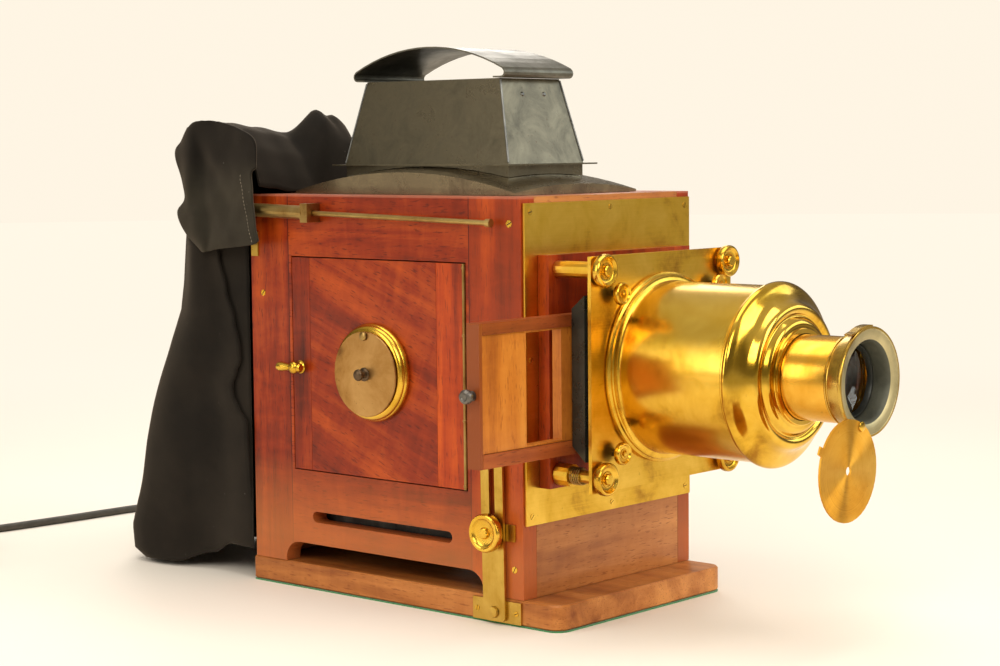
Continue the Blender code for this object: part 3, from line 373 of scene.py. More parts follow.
def moulding(name, colour):
    """Dark phenolic moulding with a faint brown mottle."""
    s = Shader(name)
    mottle = s.noise(s.coord, 55.0, 5.0, 0.65, 1.2)
    shade = s.ramp(mottle, [(0.35, colour), (0.75, tuple(min(1.0, 2.4 * c) for c in colour))])
    s.set(Base_Color=shade, Roughness=0.24, Coat_Weight=0.3, Coat_Roughness=0.1)
    s.bump(s.noise(s.coord, 90.0, 3.0), 0.05, 0.0004)
    return s.mat


# ------------------------------------------------------------------ mesh helpers
def new_mesh(name, verts, faces, look, smooth=40.0):
    bm = bmesh.new()
    made = [bm.verts.new(v) for v in verts]
    for face in faces:
        bm.faces.new([made[k] for k in face])
    return close(name, bm, look, smooth)


def close(name, bm, look, smooth=40.0):
    bmesh.ops.recalc_face_normals(bm, faces=bm.faces)
    mesh = bpy.data.meshes.new(name)
    bm.to_mesh(mesh)
    bm.free()
    if smooth:
        mesh.shade_smooth()
        mesh.set_sharp_from_angle(angle=math.radians(smooth))
    obj = bpy.data.objects.new(name, mesh)
    bpy.context.scene.collection.objects.link(obj)
    for mat in (look if isinstance(look, (list, tuple)) else [look]):
        mesh.materials.append(mat)
    return obj


def basis(axis):
    w = Vector(axis).normalized()
    u = Vector((0, 0, 1)).cross(w)
    u = u.normalized() if u.length > 0.1 else Vector((1, 0, 0))
    return u, w.cross(u), w


def turned(name, profile, axis, centre, look, steps=48, knurl=None, depth=0.0003, smooth=35.0):
    """Lathe a (radius, height) profile; knurl = (low, high) heights where the rim is toothed."""
    u, v, w = basis(axis)
    centre = Vector(centre)
    bm = bmesh.new()
    rings = []
    for radius, height in profile:
        if radius < 1e-6:
            rings.append([bm.verts.new(centre + w * height)])
            continue
        ring = []
        for k in range(steps):
            angle = 2 * math.pi * k / steps
            r = radius
            if knurl and knurl[0] - 1e-6 <= height <= knurl[1] + 1e-6 and k % 2:
                r -= depth
            ring.append(bm.verts.new(centre + (u * math.cos(angle) + v * math.sin(angle)) * r + w * height))
        rings.append(ring)
    for low, high in zip(rings, rings[1:]):
        for k in range(steps):
            a, b = low[k % len(low)], low[(k + 1) % len(low)]
            c, d = high[(k + 1) % len(high)], high[k % len(high)]
            corners = list(dict.fromkeys((a, b, c, d)))
            if len(corners) > 2:
                bm.faces.new(corners)
    return close(name, bm, look, smooth)


def tube(name, points, radius, look, sides=10, closed=False):
    """Round bar along a chain of points."""
    points = [Vector(p) for p in points]
    bm = bmesh.new()
    rings = []
    side = None
    for k, point in enumerate(points):
        ahead = points[min(k + 1, len(points) - 1)] - points[max(k - 1, 0)]
        ahead.normalize()
        if side is None:
            side = basis(ahead)[0]
        side = (side - ahead * side.dot(ahead)).normalized()
        other = ahead.cross(side)
        rings.append([bm.verts.new(point + (side * math.cos(2 * math.pi * j / sides)
                                            + other * math.sin(2 * math.pi * j / sides)) * radius)
                      for j in range(sides)])
    for low, high in zip(rings, rings[1:]):
        for j in range(sides):
            bm.faces.new((low[j], low[(j + 1) % sides], high[(j + 1) % sides], high[j]))
    bm.faces.new(rings[0])
    bm.faces.new(rings[-1])
    return close(name, bm, look, 50.0)


def slotted_screw(name, centre, axis, radius, look, angle=0.0, rise=0.0004):
    """Countersunk screw head: two half discs with a slot between, over a slot floor painted dark as shade."""
    u, v, w = basis(axis)
    turn_u = u * math.cos(angle) + v * math.sin(angle)
    turn_v = w.cross(turn_u)
    centre = Vector(centre)
    half = radius * 0.11
    bm = bmesh.new()
    for sign in (1, -1):
        start = math.asin(half / radius)
        outline = [(radius * math.cos(start + (math.pi - 2 * start) * k / 14),
                    sign * radius * math.sin(start + (math.pi - 2 * start) * k / 14)) for k in range(15)]
        base = [bm.verts.new(centre + turn_u * x + turn_v * y - w * 0.0003) for x, y in outline]
        top = [bm.verts.new(centre + turn_u * x * 0.92 + turn_v * (y if abs(y) < half * 1.1 else y * 0.92)
                            + w * rise) for x, y in outline]
        bm.faces.new(top)
        for k in range(15):
            bm.faces.new((base[k], base[(k + 1) % 15], top[(k + 1) % 15], top[k]))
    # the slot floor is near-black painted shade
    floor = [bm.verts.new(centre + turn_u * radius * 0.98 * math.cos(a) + turn_v * radius * 0.98 * math.sin(a)
                          + w * 0.00005) for a in (2 * math.pi * k / 20 for k in range(20))]
    dark = bm.faces.new(floor)
    dark.material_index = 1
    return close(name, bm, look, 30.0)


def boxed(name, low, high, look, bevel=0.0004):
    bm = bmesh.new()
    bmesh.ops.create_cube(bm, size=1.0)
    for vert in bm.verts:
        vert.co = Vector(tuple(low[k] if vert.co[k] < 0 else high[k] for k in range(3)))
    if bevel:
        bmesh.ops.bevel(bm, geom=bm.edges[:], offset=bevel, segments=2, affect="EDGES")
    return close(name, bm, look, 40.0)


def dress(node, *mats):
    """Give a CAD node a new material in every slot."""
    obj = NODES[node]
    if not obj.material_slots:
        obj.data.materials.append(mats[0])
    for k, slot in enumerate(obj.material_slots):
        slot.link = "OBJECT"
        slot.material = mats[min(k, len(mats) - 1)]
    return obj


# ------------------------------------------------------------------ materials of the CAD nodes
make_camera()

side_wood = wood("mahogany_case_side", framed_grain, *RED, chamfer=chamfer_line)
front_wood = wood("mahogany_front", lambda s: wood_figure(s, 0, 3.3, 0.5), *WARM_AND_SHEEN, gloss=0.34, coat=0.3)
top_wood = wood("mahogany_top", lambda s: wood_figure(s, 1, 4.1, 0.4), *DEEP, chamfer=chamfer_line)
stile_wood = wood("mahogany_stile", lambda s: wood_figure(s, 2, 6.7, 0.6), *RED)
# painted light: a brighter copy of the stile mahogany for the front stile, as if it caught more light
stile_painted_lit = wood("mahogany_stile_front_painted_lit", lambda s: wood_figure(s, 2, 6.7, 0.6), (0.130, 0.012, 0.0016),
                    (0.400, 0.044, 0.0036), (0.660, 0.110, 0.0080))
panel_wood = wood("mahogany_door_panel", crossed_grain, *RED)
base_wood = wood("mahogany_base", lambda s: wood_figure(s, 1, 7.7, 0.5), *WARM_AND_SHEEN)
block_wood = wood("mahogany_block", lambda s: wood_figure(s, 2, 2.2, 0.5), *RED)
rail_wood = wood("carrier_rail_wood", lambda s: wood_figure(s, 0, 8.8, 0.4), *EDGE, gloss=0.36, coat=0.1)
shuttle_wood = wood("carrier_shuttle_wood", lambda s: wood_figure(s, 2, 12.5, 0.7), *ORANGE, gloss=0.34,
                    coat=0.12, chamfer=end_board)
hinge_brass = brass("brass_hinge", *DULL, gloss=0.4, flat_axis=2, stain=1.0)

plate_brass = brass("brass_plate", *GOLD, gloss=0.27, flat_axis=0)
strap_brass = brass("brass_strap", *OLIVE_GOLD, gloss=0.27, flat_axis=2)
barrel_brass = brass("brass_barrel", *GOLD, gloss=0.17, turned=1, centre=(0.0, AXIS_Z), streak=0.06, spin=0.6)
cap_brass = brass("brass_cap", *GOLD, gloss=0.10, turned=1, centre=(0.0, AXIS_Z), stain=0.3, streak=0.06)
tube_brass = brass("brass_focus_tube", *ORANGE_GOLD, gloss=0.17, turned=1, centre=(0.0, AXIS_Z), streak=0.08,
                   spin=0.6)
hood_brass = brass("brass_hood", *OLIVE_GOLD, gloss=0.20, turned=1, centre=(0.0, AXIS_Z))
FLAP_ANGLE = math.radians(27.5)
flap_centre = (-0.067 * math.sin(FLAP_ANGLE), AXIS_Z - 0.067 * math.cos(FLAP_ANGLE))
flap_brass = brass("brass_flap", *ORANGE_GOLD, gloss=0.38, turned=1, centre=flap_centre,
                   spin=0.95, streak=0.3)
bezel_brass = brass("brass_bezel", *GOLD, gloss=0.20, turned=0, centre=(0.0212, 0.1822))
cover_brass = brass("brass_cover", *WORN, gloss=0.36, flat_axis=1, stain=0.9, streak=0.04)
small_brass = brass("brass_small", *GOLD, gloss=0.22, flat_axis=2)
aged_brass = brass("brass_aged", *DULL, gloss=0.32, flat_axis=1)
nickel = paint("dark_steel", (0.16, 0.145, 0.125), 0.36, 0.9)
sheet_iron = iron("iron_sheet", (0.205, 0.172, 0.105), (0.090, 0.078, 0.048), gloss=0.24)
cap_iron = iron("iron_cap", (0.200, 0.185, 0.140), (0.100, 0.092, 0.068), gloss=0.31, coat=0.16)
dome_iron = iron("iron_dome", (0.420, 0.330, 0.190), (0.170, 0.130, 0.075), gloss=0.15, speck=0.8)
lining_iron = iron("iron_lining_sheet", (0.10, 0.095, 0.085), (0.035, 0.032, 0.028), gloss=0.5)
black_paint = paint("black_paint", (0.020, 0.022, 0.017), 0.26)
cloth_look = black_cloth("black_cotton")
baize_look = felt("green_baize")
cord_look = rubber("brown_flex", (0.050, 0.042, 0.030), 0.55)
bakelite = moulding("brown_moulding", (0.014, 0.009, 0.007))
lens_glass = glass("lens_glass", (0.93, 0.96, 0.93))
dark_glass = glass("viewing_glass", (0.05, 0.06, 0.05), 0.03, 0.8)
bulb_glass = glass("opal_bulb", (0.95, 0.93, 0.88), 0.12, 0.75)
# Slot floors of the screws: near-black painted shade in the slots.
slot_painted_shade = paint("painted_slot_shade", (0.012, 0.009, 0.007), 0.7)

LOOKS = {
    "baize": baize_look, "baseboard": base_wood, "tilt_hinge": aged_brass, "side_panel_left": side_wood,
    "side_panel_right": side_wood, "front_panel": front_wood, "rear_frame": front_wood, "top_board": top_wood,
    "door_stile_front": stile_painted_lit, "door_stile_rear": stile_wood, "door_panel": panel_wood,
    "door_hinge": hinge_brass, "peephole_bezel": bezel_brass, "peephole_glass": dark_glass,
    "peephole_cover": cover_brass, "door_catch": small_brass, "roof_dome": dome_iron, "chimney": sheet_iron,
    "chimney_cap": cap_iron, "iron_lining": lining_iron, "front_plate": plate_brass,
    "stage_block": block_wood,
    "lens_plate": plate_brass, "pressure_plate": black_paint, "carrier_frame": rail_wood,
    "carrier_shuttle": shuttle_wood, "lens_barrel": barrel_brass, "barrel_cap": cap_brass,
    "objective_tube": tube_brass, "objective_hood": hood_brass, "objective_lens": lens_glass,
    "lens_flap": flap_brass, "condenser_cell": aged_brass, "condenser_lens": lens_glass,
    "lamp_tray": black_paint, "lamp_holder": aged_brass, "lamp_bulb": bulb_glass, "cord_gland": bakelite,
    "curtain": cloth_look, "cord": cord_look, "cord_coil": cord_look, "plug": bakelite,
}
for side, _ in SIDES:
    for node, look in (("strut_bracket_", strap_brass), ("strut_", strap_brass), ("clamp_knob_", small_brass),
                       ("curtain_tube_", aged_brass), ("curtain_rod_", aged_brass)):
        LOOKS[node + side] = look
for corner, _, _ in CORNERS:
    LOOKS["plate_nut_" + corner] = small_brass
    LOOKS["flange_screw_" + corner] = small_brass
for node, look in LOOKS.items():
    dress(node, look)


# ------------------------------------------------------------------ mains cord
CORD_R = 0.0035
COIL_X, COIL_Y = -0.205, 0.483


def spline(a, b, c, d, t):
    """Catmull-Rom curve from b to c."""
    return 0.5 * (2 * b + (c - a) * t + (2 * a - 5 * b + 4 * c - d) * t ** 2
                  + (3 * b - a - 3 * c + d) * t ** 3)


def smooth_path(points, per_span):
    ends = [points[0] * 2 - points[1]] + points + [points[-1] * 2 - points[-2]]
    path = []
    for k in range(1, len(ends) - 2):
        a, b, c, d = ends[k - 1:k + 3]
        for step in range(per_span):
            path.append(spline(a, b, c, d, step / per_span))
    return path + [points[-1]]


def ease(t):
    t = max(0.0, min(1.0, t))
    return t * t * (3 - 2 * t)


def cord_points():
    floor = CORD_R + 0.0001
    drop = [(0.080, 0.195, 0.0305), (0.0802, 0.2150, 0.0298), (0.0812, 0.2330, 0.0240),
            (0.0826, 0.2500, 0.0150), (0.0842, 0.2700, 0.0068)]
    low = [(0.0860, 0.2900), (0.0900, 0.3150), (0.0970, 0.3500), (0.1050, 0.3900), (0.1090, 0.4300),
           (0.1030, 0.4650), (0.0850, 0.4920), (0.0580, 0.5060), (0.0200, 0.5100), (-0.0200, 0.5120),
           (-0.0600, 0.5150), (-0.1000, 0.5188), (-0.1350, 0.5245), (-0.1620, 0.5282)]
    points = [Vector(p) for p in drop] + [Vector((x, y, floor)) for x, y in low]
    path = smooth_path(points, 3)
    start = math.atan2(0.5288 - COIL_Y, -0.1815 - COIL_X)
    total = math.pi - start + 4 * 2 * math.pi
    steps = 150
    for k in range(steps + 1):
        angle = total * k / steps
        turn = angle / (2 * math.pi)
        if turn < 0.25:
            r = 0.0515 - 0.0050 * ease(turn / 0.25)
        elif turn < 2.25:
            r = 0.0465 - 0.0071 * (turn - 0.25)
        elif turn < 2.45:
            r = 0.0323
        else:
            r = 0.0323 + (0.0465 - 0.0323) * (turn - 2.45) / (total / (2 * math.pi) - 2.45)
        z = floor + 0.00705 * ease((turn - 2.05) / 0.40)
        path.append(Vector((COIL_X + r * math.cos(start + angle), COIL_Y + r * math.sin(start + angle), z)))
    last = path[-1]
    path.append(Vector((last.x, last.y - 0.010, last.z)))
    path.append(Vector((last.x + 0.0004, last.y - 0.020, last.z)))
    path.append(Vector((-0.2505, 0.4545, last.z)))
    return path


def make_cord():
    path = cord_points()
    obj = tube("mains_cord", path, CORD_R, cord_look, 14)
    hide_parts("cord", "cord_coil")
    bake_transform(obj)
    tie = make_tie()


def make_tie():
    """Flat strap round the coil's turns."""
    centre = Vector((COIL_X + 0.0395 * math.cos(-0.9), COIL_Y + 0.0395 * math.sin(-0.9), 0.0))
    out = Vector((math.cos(-0.9), math.sin(-0.9), 0.0))
    along = Vector((-out.y, out.x, 0.0))
    outline = []
    for k in range(24):
        a = 2 * math.pi * k / 24
        x = max(-0.0112, min(0.0112, 0.0145 * math.cos(a)))
        z = 0.0072 + max(-0.0070, min(0.0072, 0.0110 * math.sin(a)))
        outline.append((x, z))
    verts, faces = [], []
    for shift in (-0.003, 0.003):
        for grow in (0.0, 0.0008):
            for x, z in outline:
                sx = x + (grow if x > 0 else -grow)
                sz = z + (grow if z > 0.0072 else -grow * 0.1)
                verts.append(centre + out * sx + along * shift + Vector((0, 0, max(0.0001, sz))))
    n = len(outline)
    for k in range(n):
        j = (k + 1) % n
        for a, b in ((0, 1), (1, 3), (3, 2), (2, 0)):
            faces.append((a * n + k, a * n + j, b * n + j, b * n + k))
    tie = new_mesh("cord_tie", verts, faces, rubber("tie_cloth", (0.02, 0.02, 0.02), 0.8))
    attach(tie, "base")
    return tie


make_cord()


# ------------------------------------------------------------------ fittings
def add(obj, body):
    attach(obj, body)
    return obj


def stand_in(piece, node, body):
    """Show a brass piece in place of a CAD node, riding on a body."""
    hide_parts(node)
    add(piece, body)


def lifted(profile, by):
    """Profile with its heights counted from a face."""
    return [(radius, height + by) for radius, height in profile]


def thumb_nut(corner, x, z):
    """Toothed nut on the end of a pillar."""
    profile = [(0.0, 0.0), (0.0085, 0.0), (0.0085, 0.0012), (0.0112, 0.0016), (0.0119, 0.0024),
               (0.0123, 0.0030), (0.0123, 0.0064), (0.0119, 0.0072), (0.0113, 0.0078), (0.0103, 0.0079),
               (0.0098, 0.0075), (0.0090, 0.0062), (0.0082, 0.0058), (0.0062, 0.0057), (0.0060, 0.0062),
               (0.0054, 0.0062), (0.0052, 0.0057), (0.0042, 0.0057), (0.0040, 0.0078), (0.0034, 0.0087),
               (0.0, 0.0088)]
    look = brass("brass_nut_" + corner, *GOLD, gloss=0.2, turned=1, centre=(x, z))
    teeth = (STAGE_FACE + 0.0029, STAGE_FACE + 0.0066)
    nut = turned("thumb_nut_" + corner, lifted(profile, STAGE_FACE), FORWARD, (x, 0, z), look, 96, teeth,
                 0.00032)
    stand_in(nut, "plate_nut_" + corner, "plate_nut_" + corner)


def milled_screw(corner, x, z, stem):
    """Toothed screw through the barrel's flange, with a dark stem under its head."""
    profile = [(0.0, 0.0), (0.0027, 0.0), (0.0027, 0.0052), (0.0074, 0.0054), (0.0081, 0.0060),
               (0.0084, 0.0065), (0.0084, 0.0093), (0.0080, 0.0099), (0.0075, 0.0104), (0.0068, 0.0103),
               (0.0060, 0.0092), (0.0040, 0.0090), (0.0038, 0.0094), (0.0032, 0.0094), (0.0030, 0.0090),
               (0.0022, 0.0091), (0.0017, 0.0105), (0.0, 0.0108)]
    look = brass("brass_screw_" + corner, *GOLD, gloss=0.2, turned=1, centre=(x, z))
    teeth = (STAGE_FACE + 0.0064, STAGE_FACE + 0.0094)
    head = turned("milled_screw_" + corner, lifted(profile, STAGE_FACE), FORWARD, (x, 0, z), [look, stem], 72,
                  teeth, 0.0003)
    for face in head.data.polygons:
        if face.center.y > -(STAGE_FACE + 0.0053):
            face.material_index = 1
    stand_in(head, "flange_screw_" + corner, "flange_screw_" + corner)


def clamp_knob(side, sign):
    """Toothed knob that clamps a strut."""
    y, z = -0.1046, 0.0704
    profile = [(0.0, 0.1052), (0.0020, 0.1052), (0.0020, 0.1079), (0.0072, 0.1079), (0.0072, 0.1100),
               (0.0118, 0.1106), (0.0134, 0.1113), (0.0142, 0.1121), (0.0146, 0.1126), (0.0146, 0.1170),
               (0.0142, 0.1178), (0.0136, 0.1186), (0.0122, 0.1188), (0.0112, 0.1185), (0.0104, 0.1174),
               (0.0090, 0.1168), (0.0050, 0.1166), (0.0046, 0.1166), (0.0040, 0.1182), (0.0034, 0.1190),
               (0.0, 0.1194)]
    look = brass("brass_knob_" + side, *GOLD, gloss=0.2, turned=0, centre=(y, z))
    knob = turned("milled_knob_" + side, profile, (sign, 0, 0), (0, y, z), look, 108,
                  (0.1124, 0.1172), 0.00035)
    stand_in(knob, "clamp_knob_" + side, "clamp_knob_" + side)


def knob_detail():
    """Toothed rims on the thumb nuts, screws and clamp knobs, over the plain CAD drums."""
    stem = paint("bronze_stem", (0.10, 0.065, 0.035), 0.35, 0.9)
    for corner, sx, sz in CORNERS:
        thumb_nut(corner, sx * PILLAR, AXIS_Z + sz * PILLAR)
        milled_screw(corner, sx * 0.061, AXIS_Z + sz * 0.059, stem)
    for side, sign in SIDES:
        clamp_knob(side, sign)


knob_detail()


def smooth_profile(profile, fine=4):
    points = [Vector((r, h, 0.0)) for r, h in profile]
    steps = fine * (len(points) - 1)
    return [(max(0.0, at.x), at.y) for at in (through(points, k / steps) for k in range(steps + 1))]


def fine_barrel():
    back, front = STAGE_FACE, 0.2845
    barrel = [(0.0635, back), (0.0710, back), (0.0717, back + 0.0006), (0.0720, back + 0.0018),
              (0.0717, back + 0.0030), (0.0706, back + 0.0036), (0.0700, back + 0.0040),
              (0.0698, back + 0.0054), (0.0690, back + 0.0060), (0.0672, back + 0.0062),
              (0.0657, back + 0.0070), (0.0651, back + 0.0085), (0.0650, back + 0.0110),
              (0.0650, front - 0.0022), (0.0653, front - 0.0016), (0.0653, front - 0.0004),
              (0.0650, front), (0.0635, front), (0.0635, back)]
    piece = turned("fine_barrel", barrel, FORWARD, ON_AXIS, barrel_brass, 128, smooth=25.0)
    stand_in(piece, "lens_barrel", "case")


def fine_cap():
    outer = [(0.0650, 0.2848), (0.0665, 0.2850), (0.0677, 0.2858), (0.0682, 0.2872), (0.0680, 0.2888),
             (0.0670, 0.2903), (0.0650, 0.2918), (0.0618, 0.2936), (0.0584, 0.2958), (0.0556, 0.2984),
             (0.0538, 0.3012), (0.0524, 0.3034), (0.0506, 0.3048), (0.0484, 0.3053), (0.0462, 0.3046),
             (0.0446, 0.3034), (0.0434, 0.3034), (0.0422, 0.3048), (0.0406, 0.3068), (0.0386, 0.3079),
             (0.0364, 0.3082), (0.0352, 0.3084)]
    cap = smooth_profile(outer)
    cap += [(0.0350, 0.3090), (0.0350, 0.3104), (0.0345, 0.3108), (0.0316, 0.3108), (0.0316, 0.3008),
            (0.0430, 0.3008), (0.0500, 0.3005), (0.0540, 0.2950), (0.0615, 0.2915), (0.0635, 0.2890),
            (0.0635, 0.2848), (0.0650, 0.2848)]
    piece = turned("fine_cap", cap, FORWARD, ON_AXIS, cap_brass, 128, smooth=30.0)
    stand_in(piece, "barrel_cap", "case")


def fine_focus_tube():
    tube_line = [(0.0295, 0.2700), (0.0310, 0.2700), (0.0310, 0.3466), (0.0307, 0.3474), (0.0295, 0.3474),
                 (0.0295, 0.2700)]
    piece = turned("fine_focus_tube", tube_line, FORWARD, ON_AXIS, tube_brass, 96, smooth=30.0)
    stand_in(piece, "objective_tube", "objective")


def fine_hood():
    """Hood with a pale front face and a dark inside."""
    hood = [(0.0275, 0.3477), (0.0319, 0.3477), (0.0326, 0.3479), (0.0328, 0.3485), (0.0326, 0.3491),
            (0.0318, 0.3496), (0.0318, 0.3502), (0.0325, 0.3507), (0.0328, 0.3513), (0.0327, 0.3590),
            (0.0331, 0.3606), (0.0342, 0.3618), (0.0362, 0.3624), (0.0384, 0.3627), (0.0391, 0.3632),
            (0.0393, 0.3640), (0.0393, 0.3655), (0.0390, 0.3660), (0.0376, 0.3660), (0.0372, 0.3656),
            (0.0350, 0.3654), (0.0318, 0.3648), (0.0300, 0.3640), (0.0290, 0.3625), (0.0285, 0.3600),
            (0.0275, 0.3560), (0.0275, 0.3477)]
    piece = turned("fine_hood", hood, FORWARD, ON_AXIS, [hood_brass, hood_face, hood_inside], 96, smooth=30.0)
    for face in piece.data.polygons:
        at = face.center
        r = math.hypot(at.x, at.z - AXIS_Z)
        if at.y < -0.3637 and 0.0295 < r < 0.0374:
            face.material_index = 1
        elif r < 0.0296 and at.y < -0.3490:
            face.material_index = 2
    stand_in(piece, "objective_hood", "objective")


def lens_ring():
    inner = [(0.0238, 0.3480), (0.0262, 0.3480), (0.0262, 0.3520), (0.0250, 0.3520), (0.0240, 0.3500),
             (0.0238, 0.3480)]
    add(turned("lens_ring", inner, FORWARD, ON_AXIS, lens_black, 64), "objective")


def flap_screw():
    pivot = (-0.0335 * math.sin(FLAP_ANGLE), 0, AXIS_Z - 0.0335 * math.cos(FLAP_ANGLE))
    screw = [(0.0, 0.3640), (0.0018, 0.3640), (0.0018, 0.3681), (0.0034, 0.3682), (0.0037, 0.3686),
             (0.0035, 0.3693), (0.0022, 0.3698), (0.0, 0.3699)]
    add(turned("flap_screw", screw, FORWARD, pivot, cap_brass, 24), "objective")


def lens_detail():
    """Spun and turned lens parts at full smoothness, over the CAD's faceted ones."""
    fine_barrel()
    fine_cap()
    fine_focus_tube()
    fine_hood()
    tongue()
    lens_ring()
    flap_screw()


def tongue():
    """Curved catch on the hood's rim that the turned-up flap rests behind."""
    bm = bmesh.new()
    rings = []
    steps = 22
    for k in range(steps + 1):
        a = math.radians(84 + 40 * k / steps)
        curl = 0.0016 * ease((k / steps - 0.75) / 0.25)
        ring = []
        for r, y in ((0.0393, -0.3585), (0.0393, -0.3655), (0.0403, -0.3655), (0.0403, -0.3585)):
            r += curl
            ring.append(bm.verts.new((r * math.cos(a), y, AXIS_Z + r * math.sin(a))))
        rings.append(ring)
    for low, high in zip(rings, rings[1:]):
        for j in range(4):
            bm.faces.new((low[j], low[(j + 1) % 4], high[(j + 1) % 4], high[j]))
    bm.faces.new(rings[0])
    bm.faces.new(rings[-1])
    edges = [e for e in bm.edges if e.calc_length() > 0]
    bmesh.ops.bevel(bm, geom=edges, offset=0.0003, segments=2, affect="EDGES")
    add(close("hood_tongue", bm, hood_brass, 40.0), "objective")


OUTWARD = (-1, 0, 0)
SHUTTLE_PULL = (-0.1819, -0.15335, 0.1830)


def fine_bezel():
    ring = [(0.0285, 0.1033), (0.0386, 0.1033), (0.0389, 0.1040), (0.0389, 0.1056), (0.0385, 0.1068),
            (0.0379, 0.1078), (0.0376, 0.1081), (0.0374, 0.1090), (0.0368, 0.1102), (0.0358, 0.1112),
            (0.0346, 0.1118), (0.0334, 0.1120), (0.0320, 0.1122), (0.0300, 0.1122), (0.0285, 0.1116),
            (0.0285, 0.1033)]
    piece = turned("fine_bezel", ring, OUTWARD, (0, 0.0212, 0.1822), bezel_brass, 112, smooth=30.0)
    stand_in(piece, "peephole_bezel", "door")


def cover_fittings():
    post = [(0.0, 0.1068), (0.0034, 0.1068), (0.0034, 0.1102), (0.0016, 0.1104), (0.0016, 0.1149),
            (0.0033, 0.1150), (0.0036, 0.1156), (0.0033, 0.1164), (0.0020, 0.1169), (0.0, 0.1170)]
    add(turned("cover_pivot", post, OUTWARD, (0, 0.0212, 0.2115), aged_brass, 28), "door")
    knob = [(0.0030, 0.1147), (0.0052, 0.1147), (0.0054, 0.1152), (0.0048, 0.1157), (0.0030, 0.1160),
            (0.0026, 0.1172), (0.0026, 0.1190), (0.0040, 0.1197), (0.0046, 0.1206), (0.0046, 0.1218),
            (0.0040, 0.1228), (0.0026, 0.1235), (0.0, 0.1237)]
    add(turned("cover_knob", knob, OUTWARD, (0, 0.0212, 0.1815), bronze, 32), "peephole_cover")


def door_catch():
    post = [(0.0, 0.1032), (0.0052, 0.1032), (0.0054, 0.1040), (0.0040, 0.1050), (0.0034, 0.1066),
            (0.0042, 0.1082), (0.0050, 0.1100), (0.0050, 0.1118), (0.0040, 0.1134), (0.0022, 0.1142),
            (0.0, 0.1143)]
    catch = turned("catch_post", post, OUTWARD, (0, 0.105, 0.1815), small_brass, 32)
    stand_in(catch, "door_catch", "door_catch")
    bar = [(0.0, 0.0975), (0.0026, 0.0978), (0.0037, 0.0990), (0.0038, 0.1006), (0.0030, 0.1022),
           (0.0025, 0.1040), (0.0025, 0.1090), (0.0029, 0.1130), (0.0037, 0.1180), (0.0041, 0.1212),
           (0.0036, 0.1238), (0.0018, 0.1250), (0.0, 0.1251)]
    add(turned("catch_bar", bar, (0, 1, 0), (-0.1098, 0, 0.1815), small_brass, 24), "door_catch")


def shuttle_pull():
    ring = [(0.0043, 0.0044), (0.0050, 0.0048), (0.0053, 0.0060), (0.0052, 0.0082), (0.0046, 0.0092),
            (0.0034, 0.0096), (0.0026, 0.0092), (0.0022, 0.0087), (0.0, 0.0086)]
    add(turned("pull_button", ring, OUTWARD, SHUTTLE_PULL, [nickel, lens_black], 40), "carrier_shuttle")
    neck = [(0.0, 0.0001), (0.0036, 0.0001), (0.0036, 0.0008), (0.0022, 0.0012), (0.0022, 0.0046),
            (0.0043, 0.0044)]
    add(turned("pull_neck", neck, OUTWARD, SHUTTLE_PULL, nickel, 32), "carrier_shuttle")


def knuckles():
    for k, z in enumerate((0.1000, 0.1500, 0.2150, 0.2660)):
        line = [(0.0, z), (0.0014, z), (0.00165, z + 0.0003), (0.00165, z + 0.0017), (0.0014, z + 0.0020),
                (0.0, z + 0.0020)]
        add(turned("knuckle_%d" % k, line, (0, 0, 1), (-0.1036, -0.0745, 0), aged_brass, 16), "case")


def door_detail():
    """Peephole ring, cover knob and screw, turn catch, shuttle pull and hinge knuckles."""
    fine_bezel()
    cover_fittings()
    door_catch()
    shuttle_pull()
    knuckles()


bronze = paint("bronze", (0.11, 0.070, 0.038), 0.32, 0.9)
hood_face = brass("hood_face", (0.600, 0.510, 0.270), (0.440, 0.370, 0.190), (0.200, 0.160, 0.085),
                  gloss=0.40, turned=1, centre=(0.0, AXIS_Z))
hood_inside = paint("hood_inside", (0.105, 0.105, 0.075), 0.5, 0.4)
lens_black = paint("lens_black", (0.030, 0.032, 0.026), 0.4, 0.3)


def helix(name, start, axis, radius, wire, pitch, turns, look, body):
    u, v, w = basis(axis)
    points = [Vector(start) + (u * math.cos(a) + v * math.sin(a)) * radius + w * (pitch * a / (2 * math.pi))
              for a in (2 * math.pi * k / 14 for k in range(int(14 * turns) + 1))]
    return add(tube(name, points, wire, look, 6), body)


def stage_detail():
    for corner, sx, sz in CORNERS:
        if sz < 0:
            helix("pillar_spring_" + corner, (sx * PILLAR, -0.1585, AXIS_Z + sz * PILLAR), FORWARD, 0.0062,
                  0.0006, 0.0019, 5, aged_brass, "case")
        x, z = sx * 0.068, 0.1875 + sz * 0.050
        spring = helix("pressure_spring_" + corner, (x, -0.1764, z), (0, -1, 0), 0.0024, 0.00025, 0.0010, 4.6,
                       nickel, "case")
        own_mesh(spring)


stage_detail()

PLATE_Y = -0.1336  # face of the front plate
PLATE_SCREWS = [(-0.0950, 0.3095, 0.0024, 0.3), (0.0950, 0.3095, 0.0024, 1.2), (-0.0950, 0.0830, 0.0024, 0.8),
                (0.0950, 0.0830, 0.0024, 0.1), (0.0, 0.3110, 0.0022, 1.5), (0.0, 0.0820, 0.0022, 0.6),
                (-0.0950, 0.2000, 0.0022, 0.9), (0.0950, 0.2000, 0.0022, 0.2)]
SCREWS = [
    ("side_top", (-0.1030, -0.1200, 0.3010), (-1, 0, 0), 0.0030, 0.5, "case"),
    ("side_low", (-0.1030, -0.1227, 0.0428), (-1, 0, 0), 0.0028, 1.1, "case"),
    ("side_top_rear", (-0.1030, 0.1480, 0.2400), (-1, 0, 0), 0.0026, 0.9, "case"),
    ("other_top", (0.1030, -0.1200, 0.3010), (1, 0, 0), 0.0030, 0.2, "case"),
    ("other_low", (0.1030, -0.1227, 0.0428), (1, 0, 0), 0.0028, 1.4, "case"),
]
for letter, (x, z, radius, turn) in zip("abcdefgh", PLATE_SCREWS):
    SCREWS.append(("plate_" + letter, (x, PLATE_Y, z), FORWARD, radius, turn, "case"))
